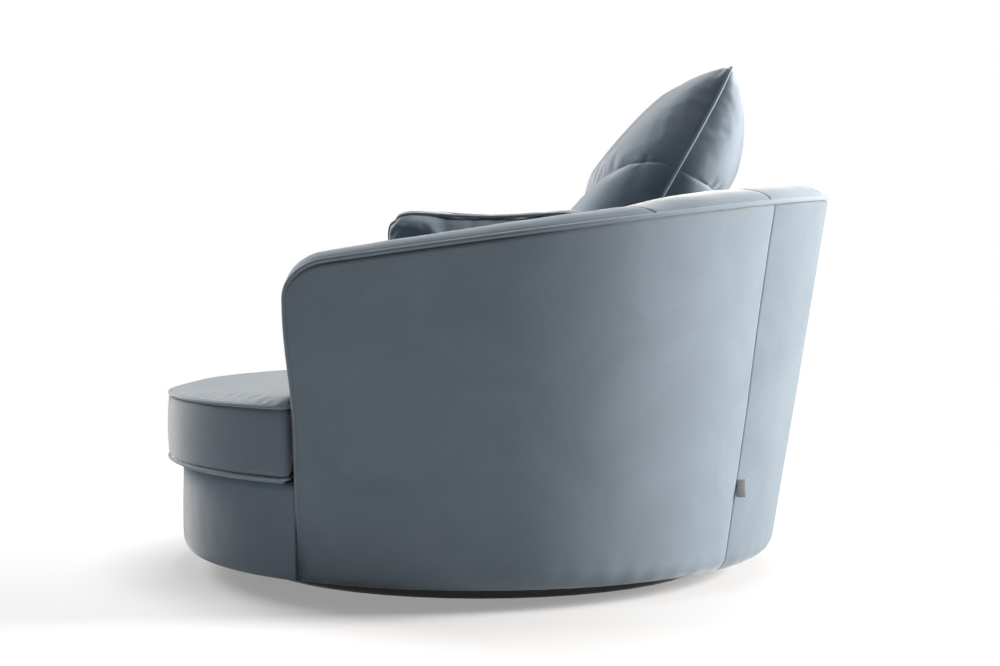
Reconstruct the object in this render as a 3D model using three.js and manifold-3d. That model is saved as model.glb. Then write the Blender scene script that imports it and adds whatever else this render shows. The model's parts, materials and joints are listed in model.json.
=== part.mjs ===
// A round swivel cuddle chair: a flared tub wall round a drum seat, turning on a ball-bearing base.
// Millimetres, +Z up, origin on the floor at the swivel axis, front towards -Y, sitter's left at +X.
import * as THREE from 'three';
import { mergeVertices } from 'three/addons/utils/BufferGeometryUtils.js';
import Module from 'manifold-3d';

const wasm = await Module();
wasm.setup();

// Base board and ball-bearing turntable
const baseRadius = 430;
const baseThickness = 25;
const baseChamfer = 4;
const bearingHeight = 10;
const raceThickness = 2.5;
const raceRadius = 130;
const raceLap = 12;
const raceFlange = 30;
const grooveDepth = 1;
const grooveMouth = 2.8;
const grooveFloor = 1.4;
const runningGap = 0.3;
const cageWidth = 13;
const cageThickness = 1.6;
const ballCount = 15;

// Countersunk wood screws of the two races
const screwCount = 4;
const screwHeadRadius = 4;
const screwShankRadius = 2;
const screwHeadDepth = 2;
const lowerScrewLength = 17;
const upperScrewLength = 13;
const screwInset = 10;
const screwGap = 0.4;

// Flared wall of the tub
const footRadius = 545;
const flareShare = 0.158;
const wallThickness = 130;
const armFrontDepth = 296;
const frontLean = 13;
const frontLeanFrom = 290;
const frontLeanTo = 480;
const armCornerReach = 64;
const armCornerDrop = 60;
const rimHeight = 597;
const rimTiltShare = 0.135;
const panelThickness = 4;
const padThickness = 50;
const frameClearance = 0.5;
const panelFoot = [[20, 0], [8, 7], [2, 17], [0, 28]];
const panelFootInside = [[4, 28], [6, 18], [12, 10], [22, 4]];
const seamGap = 0.4;
const cornerSeamShare = 0.233;
const backSeamShare = 0.33;

// Capping and its piping
const pipingDiameter = 9;
const pipingRise = 3;
const pipingSetback = 0.5;
const pipingGap = 0.5;
const cappingCrown = 19;
const cappingCornerCrown = 27;
const cappingFrontCrown = 9.5;
const cappingFloor = 0.3;
const cappingShoulder = 9;

// Frame of the body
const boardThickness = 15;
const boardRadius = 522;
const boardHoleRadius = 60;
const dustCoverThickness = 0.8;
const dustCoverHoleRadius = 168;
const deckHeight = 188;
const deckRingThickness = 18;
const deckRingWidth = 98;
const ribThickness = 18;
const ribClearance = 1.4;
const ribLedgeInset = 60;
const ribFootTaper = [8, 15];
const ribPlaceShares = [0.13, 0.25, 0.375, 0.5, 0.625, 0.75, 0.87];
const railDepth = 22;
const armPostThickness = 18;
const frontPostWidth = 40;
const frontPostDepth = 66;
const frontPostAngles = [-50, -77, -103, -130];
const frontPanelRadius = 545;
const frontPanelThickness = 5;

// Zigzag springs, felt and deck cloth
const springWire = 3.8;
const springSwing = 20;
const springLoops = 8;
const springLap = 30;
const springSpacing = 140;
const springCount = 5;
const feltThickness = 6;
const clothThickness = 1.2;
const layerGap = 0.3;
const deckLinerInset = 1.83;

// Padded border of the drum
const borderRadius = 566;
const borderLip = 61;

// Seat cushion
const seatFrontRadius = 593;
const seatBackGap = 11.1;
const seatBorderHeight = 128;
const seatPiping = 6;
const seatCrown = 15;
const seatCrownReach = 58;
const seatEarGap = 5;
const seatEarRadius = 26;
const seatNotchRadius = 8;
const seatBorderBulge = 3;

// Loose cushions. Their places are measured up from the underside of the seat cushion, and the swell of
// each face is greatest a share of the half height below its middle.
const backCushion = {
  size: [650, 624], place: [0, 299.8, 430], lean: 26, yaw: 0,
  front: 150, frontSagShare: 0.35, back: 226, backSagShare: 0.5,
  fallAcross: [2.6, 0.8], fallUp: [2, 0.9],
  bend: 6, pullShare: 0.045, frontSeamShares: [0.01, 0.335], backSeamShare: 0.36,
};
const scatterCushion = {
  size: [340, 342], front: 62, frontSagShare: 0.15, back: 66, backSagShare: 0.2,
  fallAcross: [3, 0.7], fallUp: [3, 0.7],
  bend: 6, pullShare: 0.11,
};
const scatterLeft = { ...scatterCushion, place: [400, 24, 294], lean: 27, yaw: -94 };
const scatterRight = { ...scatterCushion, place: [-424, 22, 311], lean: 9, yaw: 94 };
const cushionSeamGroove = 5;
const cushionSeamWidthShare = 0.07;
const cushionPiping = 8;
const backCushionRestGap = 2.5;
const scatterRestGap = 0.9;
const cushionWallGap = 1.5;

// Woven tag in the back seam
const tagHeight = 30;
const tagReach = 16;
const tagThickness = 3;
const tagCentre = 178;
const tagTurn = 38;

// Counts of steps round the curves
const turnSteps = 48;
const screwSides = 8;
const cornerSteps = 6;
const armSteps = 9;
const backCornerSteps = 4;
const backSteps = 9;
const frontSteps = 24;
const leanSteps = 3;
const seamRow = 10;

// Heights and radii that follow from the sizes above
const bodyBottom = baseThickness + bearingHeight;
const boardTop = bodyBottom + boardThickness;
const pipingRadius = pipingDiameter / 2;
const frameOuterDepth = panelThickness + frameClearance;
const frameInnerDepth = wallThickness - padThickness - frameClearance;

const outerRadius = (z) => footRadius + flareShare * (z - bodyBottom);
const deckRingRadius = outerRadius(deckHeight - deckRingThickness) - wallThickness + padThickness + frameClearance;
const deckLinerRadius = deckRingRadius - deckLinerInset;
const meanRadius = outerRadius(rimHeight / 2) - wallThickness / 2;
const meanStart = Math.asin(-armFrontDepth / meanRadius);
const wallLength = meanRadius * (Math.PI - 2 * meanStart);
const seatBase = deckHeight + springWire + feltThickness + clothThickness + 4 * layerGap;
const borderTop = seatBase - 2 * layerGap;
const seatBackRadius = outerRadius(seatBase) - wallThickness - seatBackGap;

const material = (color, roughness, metalness = 0) =>
  new THREE.MeshStandardMaterial({ color, roughness, metalness, flatShading: true });
const velvet = material('#8b9aa7', 0.85);
const cushionVelvet = material('#93a1ad', 0.85);
const piping = material('#7d8c99', 0.85);
const blackLacquer = material('#17181a', 0.4);
const zinc = material('#b9bcbf', 0.35, 0.9);
const ply = material('#c9a778', 0.7);
const timber = material('#b98f5e', 0.75);
const springSteel = material('#6d7175', 0.4, 0.9);
const felt = material('#a9a59b', 0.95);
const deckFabric = material('#3a3d40', 0.9);
const tagWeave = material('#75797c', 0.8);

const chair = new THREE.Group();
chair.name = 'cuddle_chair';

function facingOut(geometry) {
  const p = geometry.attributes.position;
  const index = geometry.index;
  const a = new THREE.Vector3();
  const b = new THREE.Vector3();
  const c = new THREE.Vector3();
  let volume = 0;
  for (let i = 0; i < index.count; i += 3) {
    a.fromBufferAttribute(p, index.getX(i));
    b.fromBufferAttribute(p, index.getX(i + 1));
    c.fromBufferAttribute(p, index.getX(i + 2));
    volume += a.dot(b.cross(c));
  }
  if (volume < 0) {
    for (let i = 0; i < index.count; i += 3) {
      const kept = index.getX(i + 1);
      index.setX(i + 1, index.getX(i + 2));
      index.setX(i + 2, kept);
    }
  }
  geometry.computeVertexNormals();
  return geometry;
}

function meshGeometry(points, faces) {
  const geometry = new THREE.BufferGeometry();
  geometry.setAttribute('position', new THREE.Float32BufferAttribute(points.flatMap((p) => p.toArray()), 3));
  geometry.setIndex(faces.flat());
  return facingOut(geometry);
}

function addPart(name, geometry, finish) {
  const mesh = new THREE.Mesh(geometry, finish);
  mesh.name = name;
  chair.add(mesh);
  return mesh;
}

function mirrored(geometry) {
  return facingOut(geometry.clone().scale(-1, 1, 1));
}

// The two sides of a slab's outline face each other, so rungs between them close its ends.
function rungs(count, isClockwise) {
  const triangles = [];
  for (let i = 0; i < count / 2 - 1; i += 1) {
    const [a, b, c, d] = [i, i + 1, count - 2 - i, count - 1 - i];
    triangles.push(isClockwise ? [a, c, b] : [a, b, c], isClockwise ? [a, d, c] : [a, c, d]);
  }
  return triangles;
}

// A loft through outlines of equal length; place() gives each outline point its position in space.
function loft(outlines, place, isSlab = false) {
  const count = outlines[0].length;
  const points = outlines.flatMap((outline, i) => outline.map((p) => place(i, p)));
  const faces = [];
  for (let i = 0; i + 1 < outlines.length; i += 1) {
    for (let j = 0; j < count; j += 1) {
      const k = (j + 1) % count;
      const row = i * count;
      faces.push([row + j, row + k, row + count + k], [row + j, row + count + k, row + count + j]);
    }
  }
  const flat = (outline) => outline.map(([x, y]) => new THREE.Vector2(x, y));
  const isClockwise = THREE.ShapeUtils.isClockWise(flat(outlines[0]));
  const capFaces = (outline) =>
    (isSlab ? rungs(count, isClockwise) : THREE.ShapeUtils.triangulateShape(flat(outline), []));
  const last = (outlines.length - 1) * count;
  for (const [a, b, c] of capFaces(outlines[0])) faces.push(isClockwise ? [a, b, c] : [a, c, b]);
  for (const [a, b, c] of capFaces(outlines[outlines.length - 1])) {
    faces.push(isClockwise ? [last + a, last + c, last + b] : [last + a, last + b, last + c]);
  }
  return meshGeometry(points, faces);
}

function asSolid(geometry) {
  const bare = geometry.clone();
  bare.deleteAttribute('normal');
  bare.deleteAttribute('uv');
  const merged = mergeVertices(bare);
  return new wasm.Manifold(new wasm.Mesh({
    numProp: 3,
    vertProperties: new Float32Array(merged.attributes.position.array),
    triVerts: new Uint32Array(merged.index.array),
  }));
}

function asGeometry(solid) {
  const mesh = solid.getMesh();
  const geometry = new THREE.BufferGeometry();
  geometry.setAttribute('position', new THREE.BufferAttribute(mesh.vertProperties, 3));
  geometry.setIndex(new THREE.BufferAttribute(mesh.triVerts, 1));
  geometry.computeVertexNormals();
  return geometry;
}

function cutBy(geometry, tools) {
  return asGeometry(tools.reduce((solid, tool) => solid.subtract(asSolid(tool)), asSolid(geometry)));
}

// A profile of [radius, height] points turned about the swivel axis. It ends on the axis or closes on itself.
function turned(profile, steps = turnSteps) {
  const onAxis = profile[0][0] === 0;
  const closed = (onAxis ? profile : [...profile, profile[0]]).map(([r, z]) => new THREE.Vector2(r, z));
  const geometry = new THREE.LatheGeometry(closed, steps);
  geometry.rotateX(Math.PI / 2);
  geometry.deleteAttribute('normal');
  geometry.deleteAttribute('uv');
  const merged = mergeVertices(geometry);
  const index = Array.from(merged.index.array);
  const faces = Array.from({ length: index.length / 3 }, (_, i) => index.slice(3 * i, 3 * i + 3));
  merged.setIndex(faces.filter(([a, b, c]) => a !== b && b !== c && c !== a).flat());
  return facingOut(merged);
}

const disc = (radius, low, high) => turned([[0, low], [radius, low], [radius, high], [0, high]]);
const washer = (inner, outer, low, high) =>
  turned([[inner, low], [outer, low], [outer, high], [inner, high]]);

function onCircle(radius, count, start = 0) {
  return Array.from({ length: count }, (_, i) => {
    const angle = start + (2 * Math.PI * i) / count;
    return [radius * Math.cos(angle), radius * Math.sin(angle), angle];
  });
}

// Swivel base: board, two races, cage with balls, screws
function screwGeometry(length, grow = 0, overrun = 0) {
  const head = screwHeadRadius + grow;
  const shank = screwShankRadius + grow;
  const mouth = overrun > 0 ? [[0, overrun], [head, overrun]] : [[0, 0]];
  return turned([...mouth, [head, 0], [shank, -screwHeadDepth],
    [shank, -length + shank], [0, -length - grow]], screwSides);
}

function screwsAt(radius, height, length, facing) {
  return onCircle(radius, screwCount, Math.PI / 4).map(([x, y]) => (grow, overrun) => {
    const geometry = screwGeometry(length, grow, overrun);
    if (facing < 0) geometry.rotateX(Math.PI);
    return geometry.translate(x, y, height);
  });
}

function raceProfile(inner, outer, back, facing) {
  const face = back + facing * raceThickness;
  const floor = face - facing * grooveDepth;
  return [[inner, back], [outer, back], [outer, face], [raceRadius + grooveMouth, face],
    [raceRadius + grooveFloor, floor], [raceRadius - grooveFloor, floor],
    [raceRadius - grooveMouth, face], [inner, face]];
}

function ballCage() {
  const middle = baseThickness + bearingHeight / 2;
  const ballRadius = bearingHeight / 2 - raceThickness + grooveDepth - runningGap;
  const ring = washer(raceRadius - cageWidth / 2, raceRadius + cageWidth / 2,
    middle - cageThickness / 2, middle + cageThickness / 2);
  let solid = asSolid(ring);
  for (const [x, y] of onCircle(raceRadius, ballCount)) {
    const ball = new THREE.SphereGeometry(ballRadius, 7, 5).rotateX(Math.PI / 2).translate(x, y, middle);
    solid = solid.add(asSolid(ball));
  }
  return asGeometry(solid);
}

function addSwivelBase() {
  const lowerOuter = raceRadius + raceFlange;
  const upperInner = raceRadius - raceFlange;
  const lowerScrews = screwsAt(lowerOuter - screwInset, baseThickness + raceThickness, lowerScrewLength, 1);
  const upperScrews = screwsAt(upperInner + screwInset, bodyBottom - raceThickness, upperScrewLength, -1);
  const board = turned([[0, 0], [baseRadius - baseChamfer, 0], [baseRadius, baseChamfer],
    [baseRadius, baseThickness - baseChamfer], [baseRadius - baseChamfer, baseThickness], [0, baseThickness]]);
  const holes = (screws) => screws.map((screw) => screw(screwGap, screwHeadDepth));
  addPart('base_board', cutBy(board, holes(lowerScrews)), blackLacquer);
  const lowerRace = turned(raceProfile(raceRadius - raceLap, lowerOuter, baseThickness, 1));
  addPart('lower_race', cutBy(lowerRace, holes(lowerScrews)), zinc);
  addPart('ball_cage', ballCage(), zinc);
  const upperRace = turned(raceProfile(upperInner, raceRadius + raceLap, bodyBottom, -1));
  addPart('upper_race', cutBy(upperRace, holes(upperScrews)), zinc);
  const bottomBoard = washer(boardHoleRadius, boardRadius, bodyBottom, boardTop);
  addPart('bottom_board', cutBy(bottomBoard, holes(upperScrews)), ply);
  lowerScrews.forEach((screw, i) => addPart(`lower_race_screw_${i + 1}`, screw(0, 0), zinc));
  upperScrews.forEach((screw, i) => addPart(`upper_race_screw_${i + 1}`, screw(0, 0), zinc));
  const dustCover = washer(dustCoverHoleRadius, boardRadius, bodyBottom - dustCoverThickness, bodyBottom);
  addPart('dust_cover', dustCover, deckFabric);
}

// The wall is worked out unrolled: run along it from the left arm's front, and depth inwards from its
// outer face. Both arm fronts lie across the chair, and their upper part leans forwards.
function armFrontAt(z) {
  const share = Math.min(1, Math.max(0, (z - frontLeanFrom) / (frontLeanTo - frontLeanFrom)));
  return armFrontDepth + frontLean * share * share * (3 - 2 * share);
}

function wallAngle(run, radius, z) {
  const start = Math.asin(-armFrontAt(z) / radius);
  return start + (run / wallLength) * (Math.PI - 2 * start);
}

function runAt(angle, radius, z) {
  const start = Math.asin(-armFrontAt(z) / radius);
  return ((angle - start) / (Math.PI - 2 * start)) * wallLength;
}

function wallPoint(run, depth, z) {
  const radius = outerRadius(z) - depth;
  const angle = wallAngle(run, radius, z);
  return new THREE.Vector3(radius * Math.cos(angle), radius * Math.sin(angle), z);
}

function rimAt(run) {
  let z = rimHeight;
  for (let pass = 0; pass < 6; pass += 1) {
    const radius = outerRadius(z);
    z = rimHeight - pipingRise + rimTiltShare * radius * Math.sin(wallAngle(run, radius, z));
  }
  return z;
}

const cornerSeam = cornerSeamShare * wallLength;
const backSeam = backSeamShare * wallLength;
const cornerCentreHeight = rimAt(armCornerReach) - armCornerDrop;
const rimSlope = rimAt(armCornerReach + 1) - rimAt(armCornerReach);

// Stations along the edge of the wall: up the arm front, round its corner and along the rim.
const between = (a, b, steps, first = 0) =>
  Array.from({ length: steps + 1 - first }, (_, i) => a + ((b - a) * (i + first)) / steps);

const leanHeights = between(frontLeanFrom, frontLeanTo, leanSteps);

function frontStations(low, high = cornerCentreHeight) {
  return [low, (low + frontLeanFrom) / 2, ...leanHeights, high].map((z) => ({ run: 0, z, out: -1, up: 0 }));
}

const cornerStations = between(Math.PI, Math.PI / 2, cornerSteps).map((angle) => {
  const reach = armCornerReach * Math.cos(angle);
  const way = new THREE.Vector2(Math.cos(angle) / armCornerReach, Math.sin(angle) / armCornerDrop).normalize();
  const z = cornerCentreHeight + armCornerDrop * Math.sin(angle) + rimSlope * reach * Math.sin(angle) ** 2;
  return { run: armCornerReach + reach, z, out: way.x, up: way.y };
});

const rimStations = (from, to, steps, first = 0) =>
  between(from, to, steps, first).map((run) => ({ run, z: rimAt(run), out: 0, up: 1 }));

const armRim = rimStations(armCornerReach, cornerSeam, armSteps, 1);
const backCornerRim = rimStations(cornerSeam, backSeam, backCornerSteps);
const backRim = rimStations(backSeam, wallLength - backSeam, 2 * backSteps);
const flip = (stations) =>
  stations.map((s) => ({ ...s, run: wallLength - s.run, out: -s.out })).reverse();
const armRun = [...cornerStations, ...armRim, ...backCornerRim.slice(1)];
const wholeRim = [...armRun, ...backRim.slice(1, -1), ...flip(armRun)];

function trimmed(stations, start, end) {
  const rim = stations.map((s) => ({ ...s }));
  rim[0].run += start;
  rim[rim.length - 1].run -= end;
  return rim;
}

// Sweep along the edge. Outline points are [depth from the outer face, height over the edge].
function edgeSweep(stations, outlineAt) {
  return loft(stations.map(outlineAt), (i, [depth, height]) => {
    const s = stations[i];
    return wallPoint(s.run + s.out * height, depth, s.z + s.up * height);
  });
}

// Slab of wall under the edge, from low up to inset below the edge.
function wallSlab(stations, inset, outlineAt) {
  const columns = stations.map((s) => ({ run: s.run - s.out * inset, top: s.z - s.up * inset }));
  return loft(columns.map(outlineAt), (i, [depth, z]) => wallPoint(columns[i].run, depth, z), true);
}

function outsidePanel(stations) {
  const inset = pipingRadius - pipingRise + pipingGap;
  return wallSlab(stations, inset, ({ top }) => [
    ...panelFoot.map(([depth, z]) => [depth, bodyBottom + z]),
    ...leanHeights.map((z) => [0, z]),
    [0, top],
    [panelThickness, top],
    ...leanHeights.map((z) => [panelThickness, z]).reverse(),
    ...panelFootInside.map(([depth, z]) => [depth, bodyBottom + z]),
  ]);
}

function insidePad(stations) {
  const inset = pipingRadius - pipingRise + pipingGap;
  const back = wallThickness - padThickness;
  return wallSlab(stations, inset, ({ top }) => [
    [back, seatBase], ...leanHeights.map((z) => [back, z]), [back, top],
    [wallThickness, top], ...leanHeights.map((z) => [wallThickness, z]).reverse(), [wallThickness, seatBase],
  ]);
}

// The capping swells between its two pipings, less where it is sewn to the next length.
function cappingOutline(crown) {
  const edge = pipingRadius + pipingSetback + pipingGap;
  const across = wallThickness - 2 * edge;
  const arc = [0, 0.09, 0.27, 0.5, 0.73, 0.91, 1].map((share) => [
    edge + across * share,
    cappingShoulder + (crown - cappingShoulder) * Math.sin(Math.PI * share) ** 0.6,
  ]);
  return [[edge, cappingFloor], ...arc, [edge + across, cappingFloor]].reverse();
}

function capping(stations, fullCrown) {
  const first = stations[0];
  const last = stations[stations.length - 1];
  return edgeSweep(stations, (s) => {
    const rise = cappingFrontCrown + (fullCrown - cappingFrontCrown) * s.up;
    const atSeam = (end) => end.up === 1 && s.up === 1 && Math.abs(s.run - end.run) < seamGap;
    return cappingOutline(atSeam(first) || atSeam(last) ? rise - (rise - cappingShoulder) / 4 : rise);
  });
}

function rimPiping(depth, low) {
  const rise = frontStations(low).slice(0, -1);
  const stations = [...rise, ...wholeRim, ...flip(rise)];
  const sides = 5;
  const ring = onCircle(pipingRadius, sides).map(([x, y]) => [depth + x, pipingRise + y]);
  return edgeSweep(stations, () => ring);
}

function addWallCovers() {
  const gap = seamGap / 2;
  const backStations = trimmed(backRim, gap, gap);
  const outsideArm = outsidePanel(trimmed(armRun, 0, gap));
  const insideArm = insidePad(trimmed(armRun, 0, gap));
  const cappingArm = capping(
    trimmed([...frontStations(seatBase).slice(0, -1), ...cornerStations, ...armRim], 0, gap), cappingCrown);
  const cappingCorner = capping(trimmed(backCornerRim, gap, gap), cappingCornerCrown);
  for (const [side, shaped] of [['left', (g) => g], ['right', mirrored]]) {
    addPart(`outside_arm_${side}`, shaped(outsideArm), velvet);
    addPart(`inside_arm_${side}`, shaped(insideArm), velvet);
    addPart(`capping_arm_${side}`, shaped(cappingArm), velvet);
    addPart(`capping_corner_${side}`, shaped(cappingCorner), velvet);
  }
  addPart('outside_back', outsidePanel(backStations), velvet);
  addPart('inside_back', insidePad(backStations), velvet);
  addPart('capping_back', capping(backStations, cappingCornerCrown), velvet);
  addPart('rim_piping_outer', rimPiping(pipingSetback, bodyBottom + pipingRadius), piping);
  addPart('rim_piping_inner', rimPiping(wallThickness - pipingSetback, seatBase + pipingGap), piping);
}

// Frame of the wall: ribs that taper with the flare, arm posts and bent top rails
function ribGeometry(share) {
  const angle = wallAngle(share * wallLength, meanRadius, rimHeight / 2);
  const slope = rimTiltShare * Math.abs(Math.cos(angle)) * ribThickness;
  const outer = (z) => outerRadius(z) - panelThickness - ribClearance;
  const inner = (z) => outerRadius(z) - wallThickness + padThickness + ribClearance;
  const underRail = (radius) => rimAt(runAt(angle, radius, rimHeight)) - railDepth - frameClearance - slope;
  const outerTop = underRail(outer(rimHeight));
  const innerTop = underRail(inner(rimHeight));
  const ledge = deckHeight - deckRingThickness;
  const [footIn, footUp] = ribFootTaper;
  const shape = new THREE.Shape([
    [inner(ledge) - ribLedgeInset, boardTop], [outer(boardTop) - footIn, boardTop],
    [outer(boardTop + footUp), boardTop + footUp], [outer(outerTop), outerTop], [inner(innerTop), innerTop],
    [inner(deckHeight), deckHeight], [inner(ledge), ledge], [inner(ledge) - ribLedgeInset, ledge],
  ].map(([r, z]) => new THREE.Vector2(r, z)));
  const rib = new THREE.ExtrudeGeometry(shape, { depth: ribThickness, bevelEnabled: false, steps: 1 });
  return rib.translate(0, 0, -ribThickness / 2).rotateX(Math.PI / 2).rotateZ(angle);
}

function armPost() {
  const stations = frontStations(boardTop + ribFootTaper[1], cornerCentreHeight - frameClearance);
  return edgeSweep(stations, () => [
    [frameOuterDepth, -frameClearance - armPostThickness], [frameInnerDepth, -frameClearance - armPostThickness],
    [frameInnerDepth, -frameClearance], [frameOuterDepth, -frameClearance],
  ]);
}

function topRail(stations) {
  return edgeSweep(stations, () => [
    [frameOuterDepth, -railDepth], [frameInnerDepth, -railDepth],
    [frameInnerDepth, -frameClearance], [frameOuterDepth, -frameClearance],
  ]);
}

function addWallFrame() {
  ribPlaceShares.forEach((share, i) => addPart(`wall_rib_${i + 1}`, ribGeometry(share), ply));
  const gap = seamGap / 2;
  const rail = topRail(trimmed(armRun, 0, gap));
  for (const [side, shaped] of [['left', (g) => g], ['right', mirrored]]) {
    addPart(`arm_post_${side}`, shaped(armPost()), timber);
    addPart(`top_rail_${side}`, shaped(rail), ply);
  }
  addPart('top_rail_back', topRail(trimmed(backRim, gap, gap)), ply);
}

// Front of the drum, between the arm fronts. Depth is measured from the axis outwards here.
function frontSweep(outline, endGap) {
  const shares = between(0, 1, frontSteps);
  return loft(shares.map(() => outline), (i, [radius, z]) => {
    const start = Math.asin((-armFrontDepth - endGap) / radius);
    const angle = start - shares[i] * (Math.PI + 2 * start);
    return new THREE.Vector3(radius * Math.cos(angle), radius * Math.sin(angle), z);
  });
}

function addDrumFront() {
  const panelInner = frontPanelRadius - frontPanelThickness;
  const ledge = deckHeight - deckRingThickness;
  const box = (inner, outer, low, high) => [[inner, low], [outer, low], [outer, high], [inner, high]];
  addPart('front_rail', frontSweep(
    box(deckRingRadius + frameClearance, panelInner - frameClearance, ledge, deckHeight), frameClearance), timber);
  addPart('front_panel', frontSweep(
    box(panelInner, frontPanelRadius, boardTop, deckHeight), 2 * pipingRadius), ply);
  frontPostAngles.forEach((degrees, i) => {
    const post = new THREE.BoxGeometry(frontPostDepth, frontPostWidth, ledge - boardTop);
    const centre = panelInner - 3 * frameClearance - frontPostDepth / 2;
    post.translate(centre, 0, (ledge + boardTop) / 2).rotateZ(THREE.MathUtils.degToRad(degrees));
    addPart(`front_post_${i + 1}`, post, timber);
  });
  const inner = frontPanelRadius + frameClearance;
  const under = deckHeight + layerGap;
  const swell = borderRadius - inner;
  addPart('front_border', frontSweep([
    [inner, bodyBottom], [inner + swell * 0.35, bodyBottom + panelFoot[1][1] / 4],
    [inner + swell * 0.78, bodyBottom + panelFoot[1][1]], [inner + swell * 0.95, bodyBottom + panelFoot[3][1]],
    [borderRadius, bodyBottom + (borderTop - bodyBottom) * 0.42],
    [inner + swell * 0.93, borderTop - swell * 0.8], [inner + swell * 0.6, borderTop - swell * 0.12],
    [inner + swell * 0.2, borderTop], [borderRadius - borderLip, borderTop],
    [borderRadius - borderLip, under], [inner, under],
  ], 2 * pipingRadius), velvet);
}

// Deck: ring, zigzag springs from front to back, felt and cloth
function zigzagSpring(x) {
  const ringInner = deckRingRadius - deckRingWidth;
  const reach = Math.sqrt(ringInner ** 2 - x ** 2) + springLap;
  const height = deckHeight + springWire / 2;
  const points = [new THREE.Vector3(x, -reach, height)];
  for (let i = 0; i < springLoops; i += 1) {
    const y = -reach + (2 * reach * (i + 0.5)) / springLoops;
    const side = i % 2 === 0 ? 1 : -1;
    const quarter = reach / springLoops / 2;
    points.push(new THREE.Vector3(x + side * springSwing, y - quarter, height));
    points.push(new THREE.Vector3(x + side * springSwing, y + quarter, height));
  }
  points.push(new THREE.Vector3(x, reach, height));
  const path = new THREE.CatmullRomCurve3(points, false, 'catmullrom', 0.5);
  const wire = new THREE.Shape(onCircle(springWire / 2, 4).map(([px, py]) => new THREE.Vector2(px, py)));
  return new THREE.ExtrudeGeometry(wire, { extrudePath: path, steps: 5 * springLoops, bevelEnabled: false });
}

function addDeck() {
  const ringInner = deckRingRadius - deckRingWidth;
  addPart('deck_ring', washer(ringInner, deckRingRadius, deckHeight - deckRingThickness, deckHeight), ply);
  for (let i = 0; i < springCount; i += 1) {
    const x = (i - (springCount - 1) / 2) * springSpacing;
    addPart(`seat_spring_${i + 1}`, zigzagSpring(x).translate(0, 0, layerGap), springSteel);
  }
  const feltLow = deckHeight + springWire + 2 * layerGap;
  const clothLow = feltLow + feltThickness;
  addPart('deck_felt', disc(deckLinerRadius, feltLow, clothLow), felt);
  addPart('deck_cloth', disc(deckLinerRadius, clothLow, clothLow + clothThickness), deckFabric);
}

// Seat cushion: a round boxed cushion whose front ears wrap the arm fronts
function arc([cx, cy], radius, from, to, steps) {
  return between(from, to, steps).map((a) => [cx + radius * Math.cos(a), cy + radius * Math.sin(a)]);
}

// Right half of the plan, from the middle of the front to the middle of the back. Each point carries the
// angle at which its strip of the crown meets the round core of the cushion.
function seatPlan() {
  const earLine = -armFrontDepth - cappingFrontCrown - seatEarGap;
  const earY = earLine - seatEarRadius;
  const earX = Math.sqrt((seatFrontRadius - seatEarRadius) ** 2 - earY ** 2);
  const earAngle = Math.atan2(earY, earX);
  const notchY = earLine + seatNotchRadius;
  const notchX = Math.sqrt((seatBackRadius + seatNotchRadius) ** 2 - notchY ** 2);
  const notchAngle = Math.atan2(notchY, notchX);
  const front = arc([0, 0], seatFrontRadius, -Math.PI / 2, earAngle, 9);
  const ear = arc([earX, earY], seatEarRadius, earAngle, Math.PI / 2, 4).slice(1);
  const edge = [[(earX + notchX) / 2, earLine]];
  const notch = arc([notchX, notchY], seatNotchRadius, -Math.PI / 2, notchAngle - Math.PI, 3);
  const back = arc([0, 0], seatBackRadius, notchAngle, Math.PI / 2, 13).slice(1);
  const strips = [[front, -90, -52], [[...ear, ...edge, ...notch], -48, -24], [back, -18, 90]];
  return strips.flatMap(([points, from, to]) => points.map(([x, y], i) => {
    const turn = THREE.MathUtils.degToRad(from + ((to - from) * i) / (points.length - 1));
    return { x, y, turn };
  }));
}

function closedPlan() {
  const half = seatPlan();
  const other = half.slice(1, -1).reverse().map(({ x, y, turn }) => ({ x: -x, y, turn: Math.PI - turn }));
  const plan = [...half, ...other];
  return plan.map((point, i) => {
    const before = plan[(i + plan.length - 1) % plan.length];
    const after = plan[(i + 1) % plan.length];
    const along = new THREE.Vector2(after.x - before.x, after.y - before.y).normalize();
    return { ...point, inX: -along.y, inY: along.x };
  });
}

const crownRise = (reach) => seatCrown * (1 - Math.exp(-reach / seatCrownReach));

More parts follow.
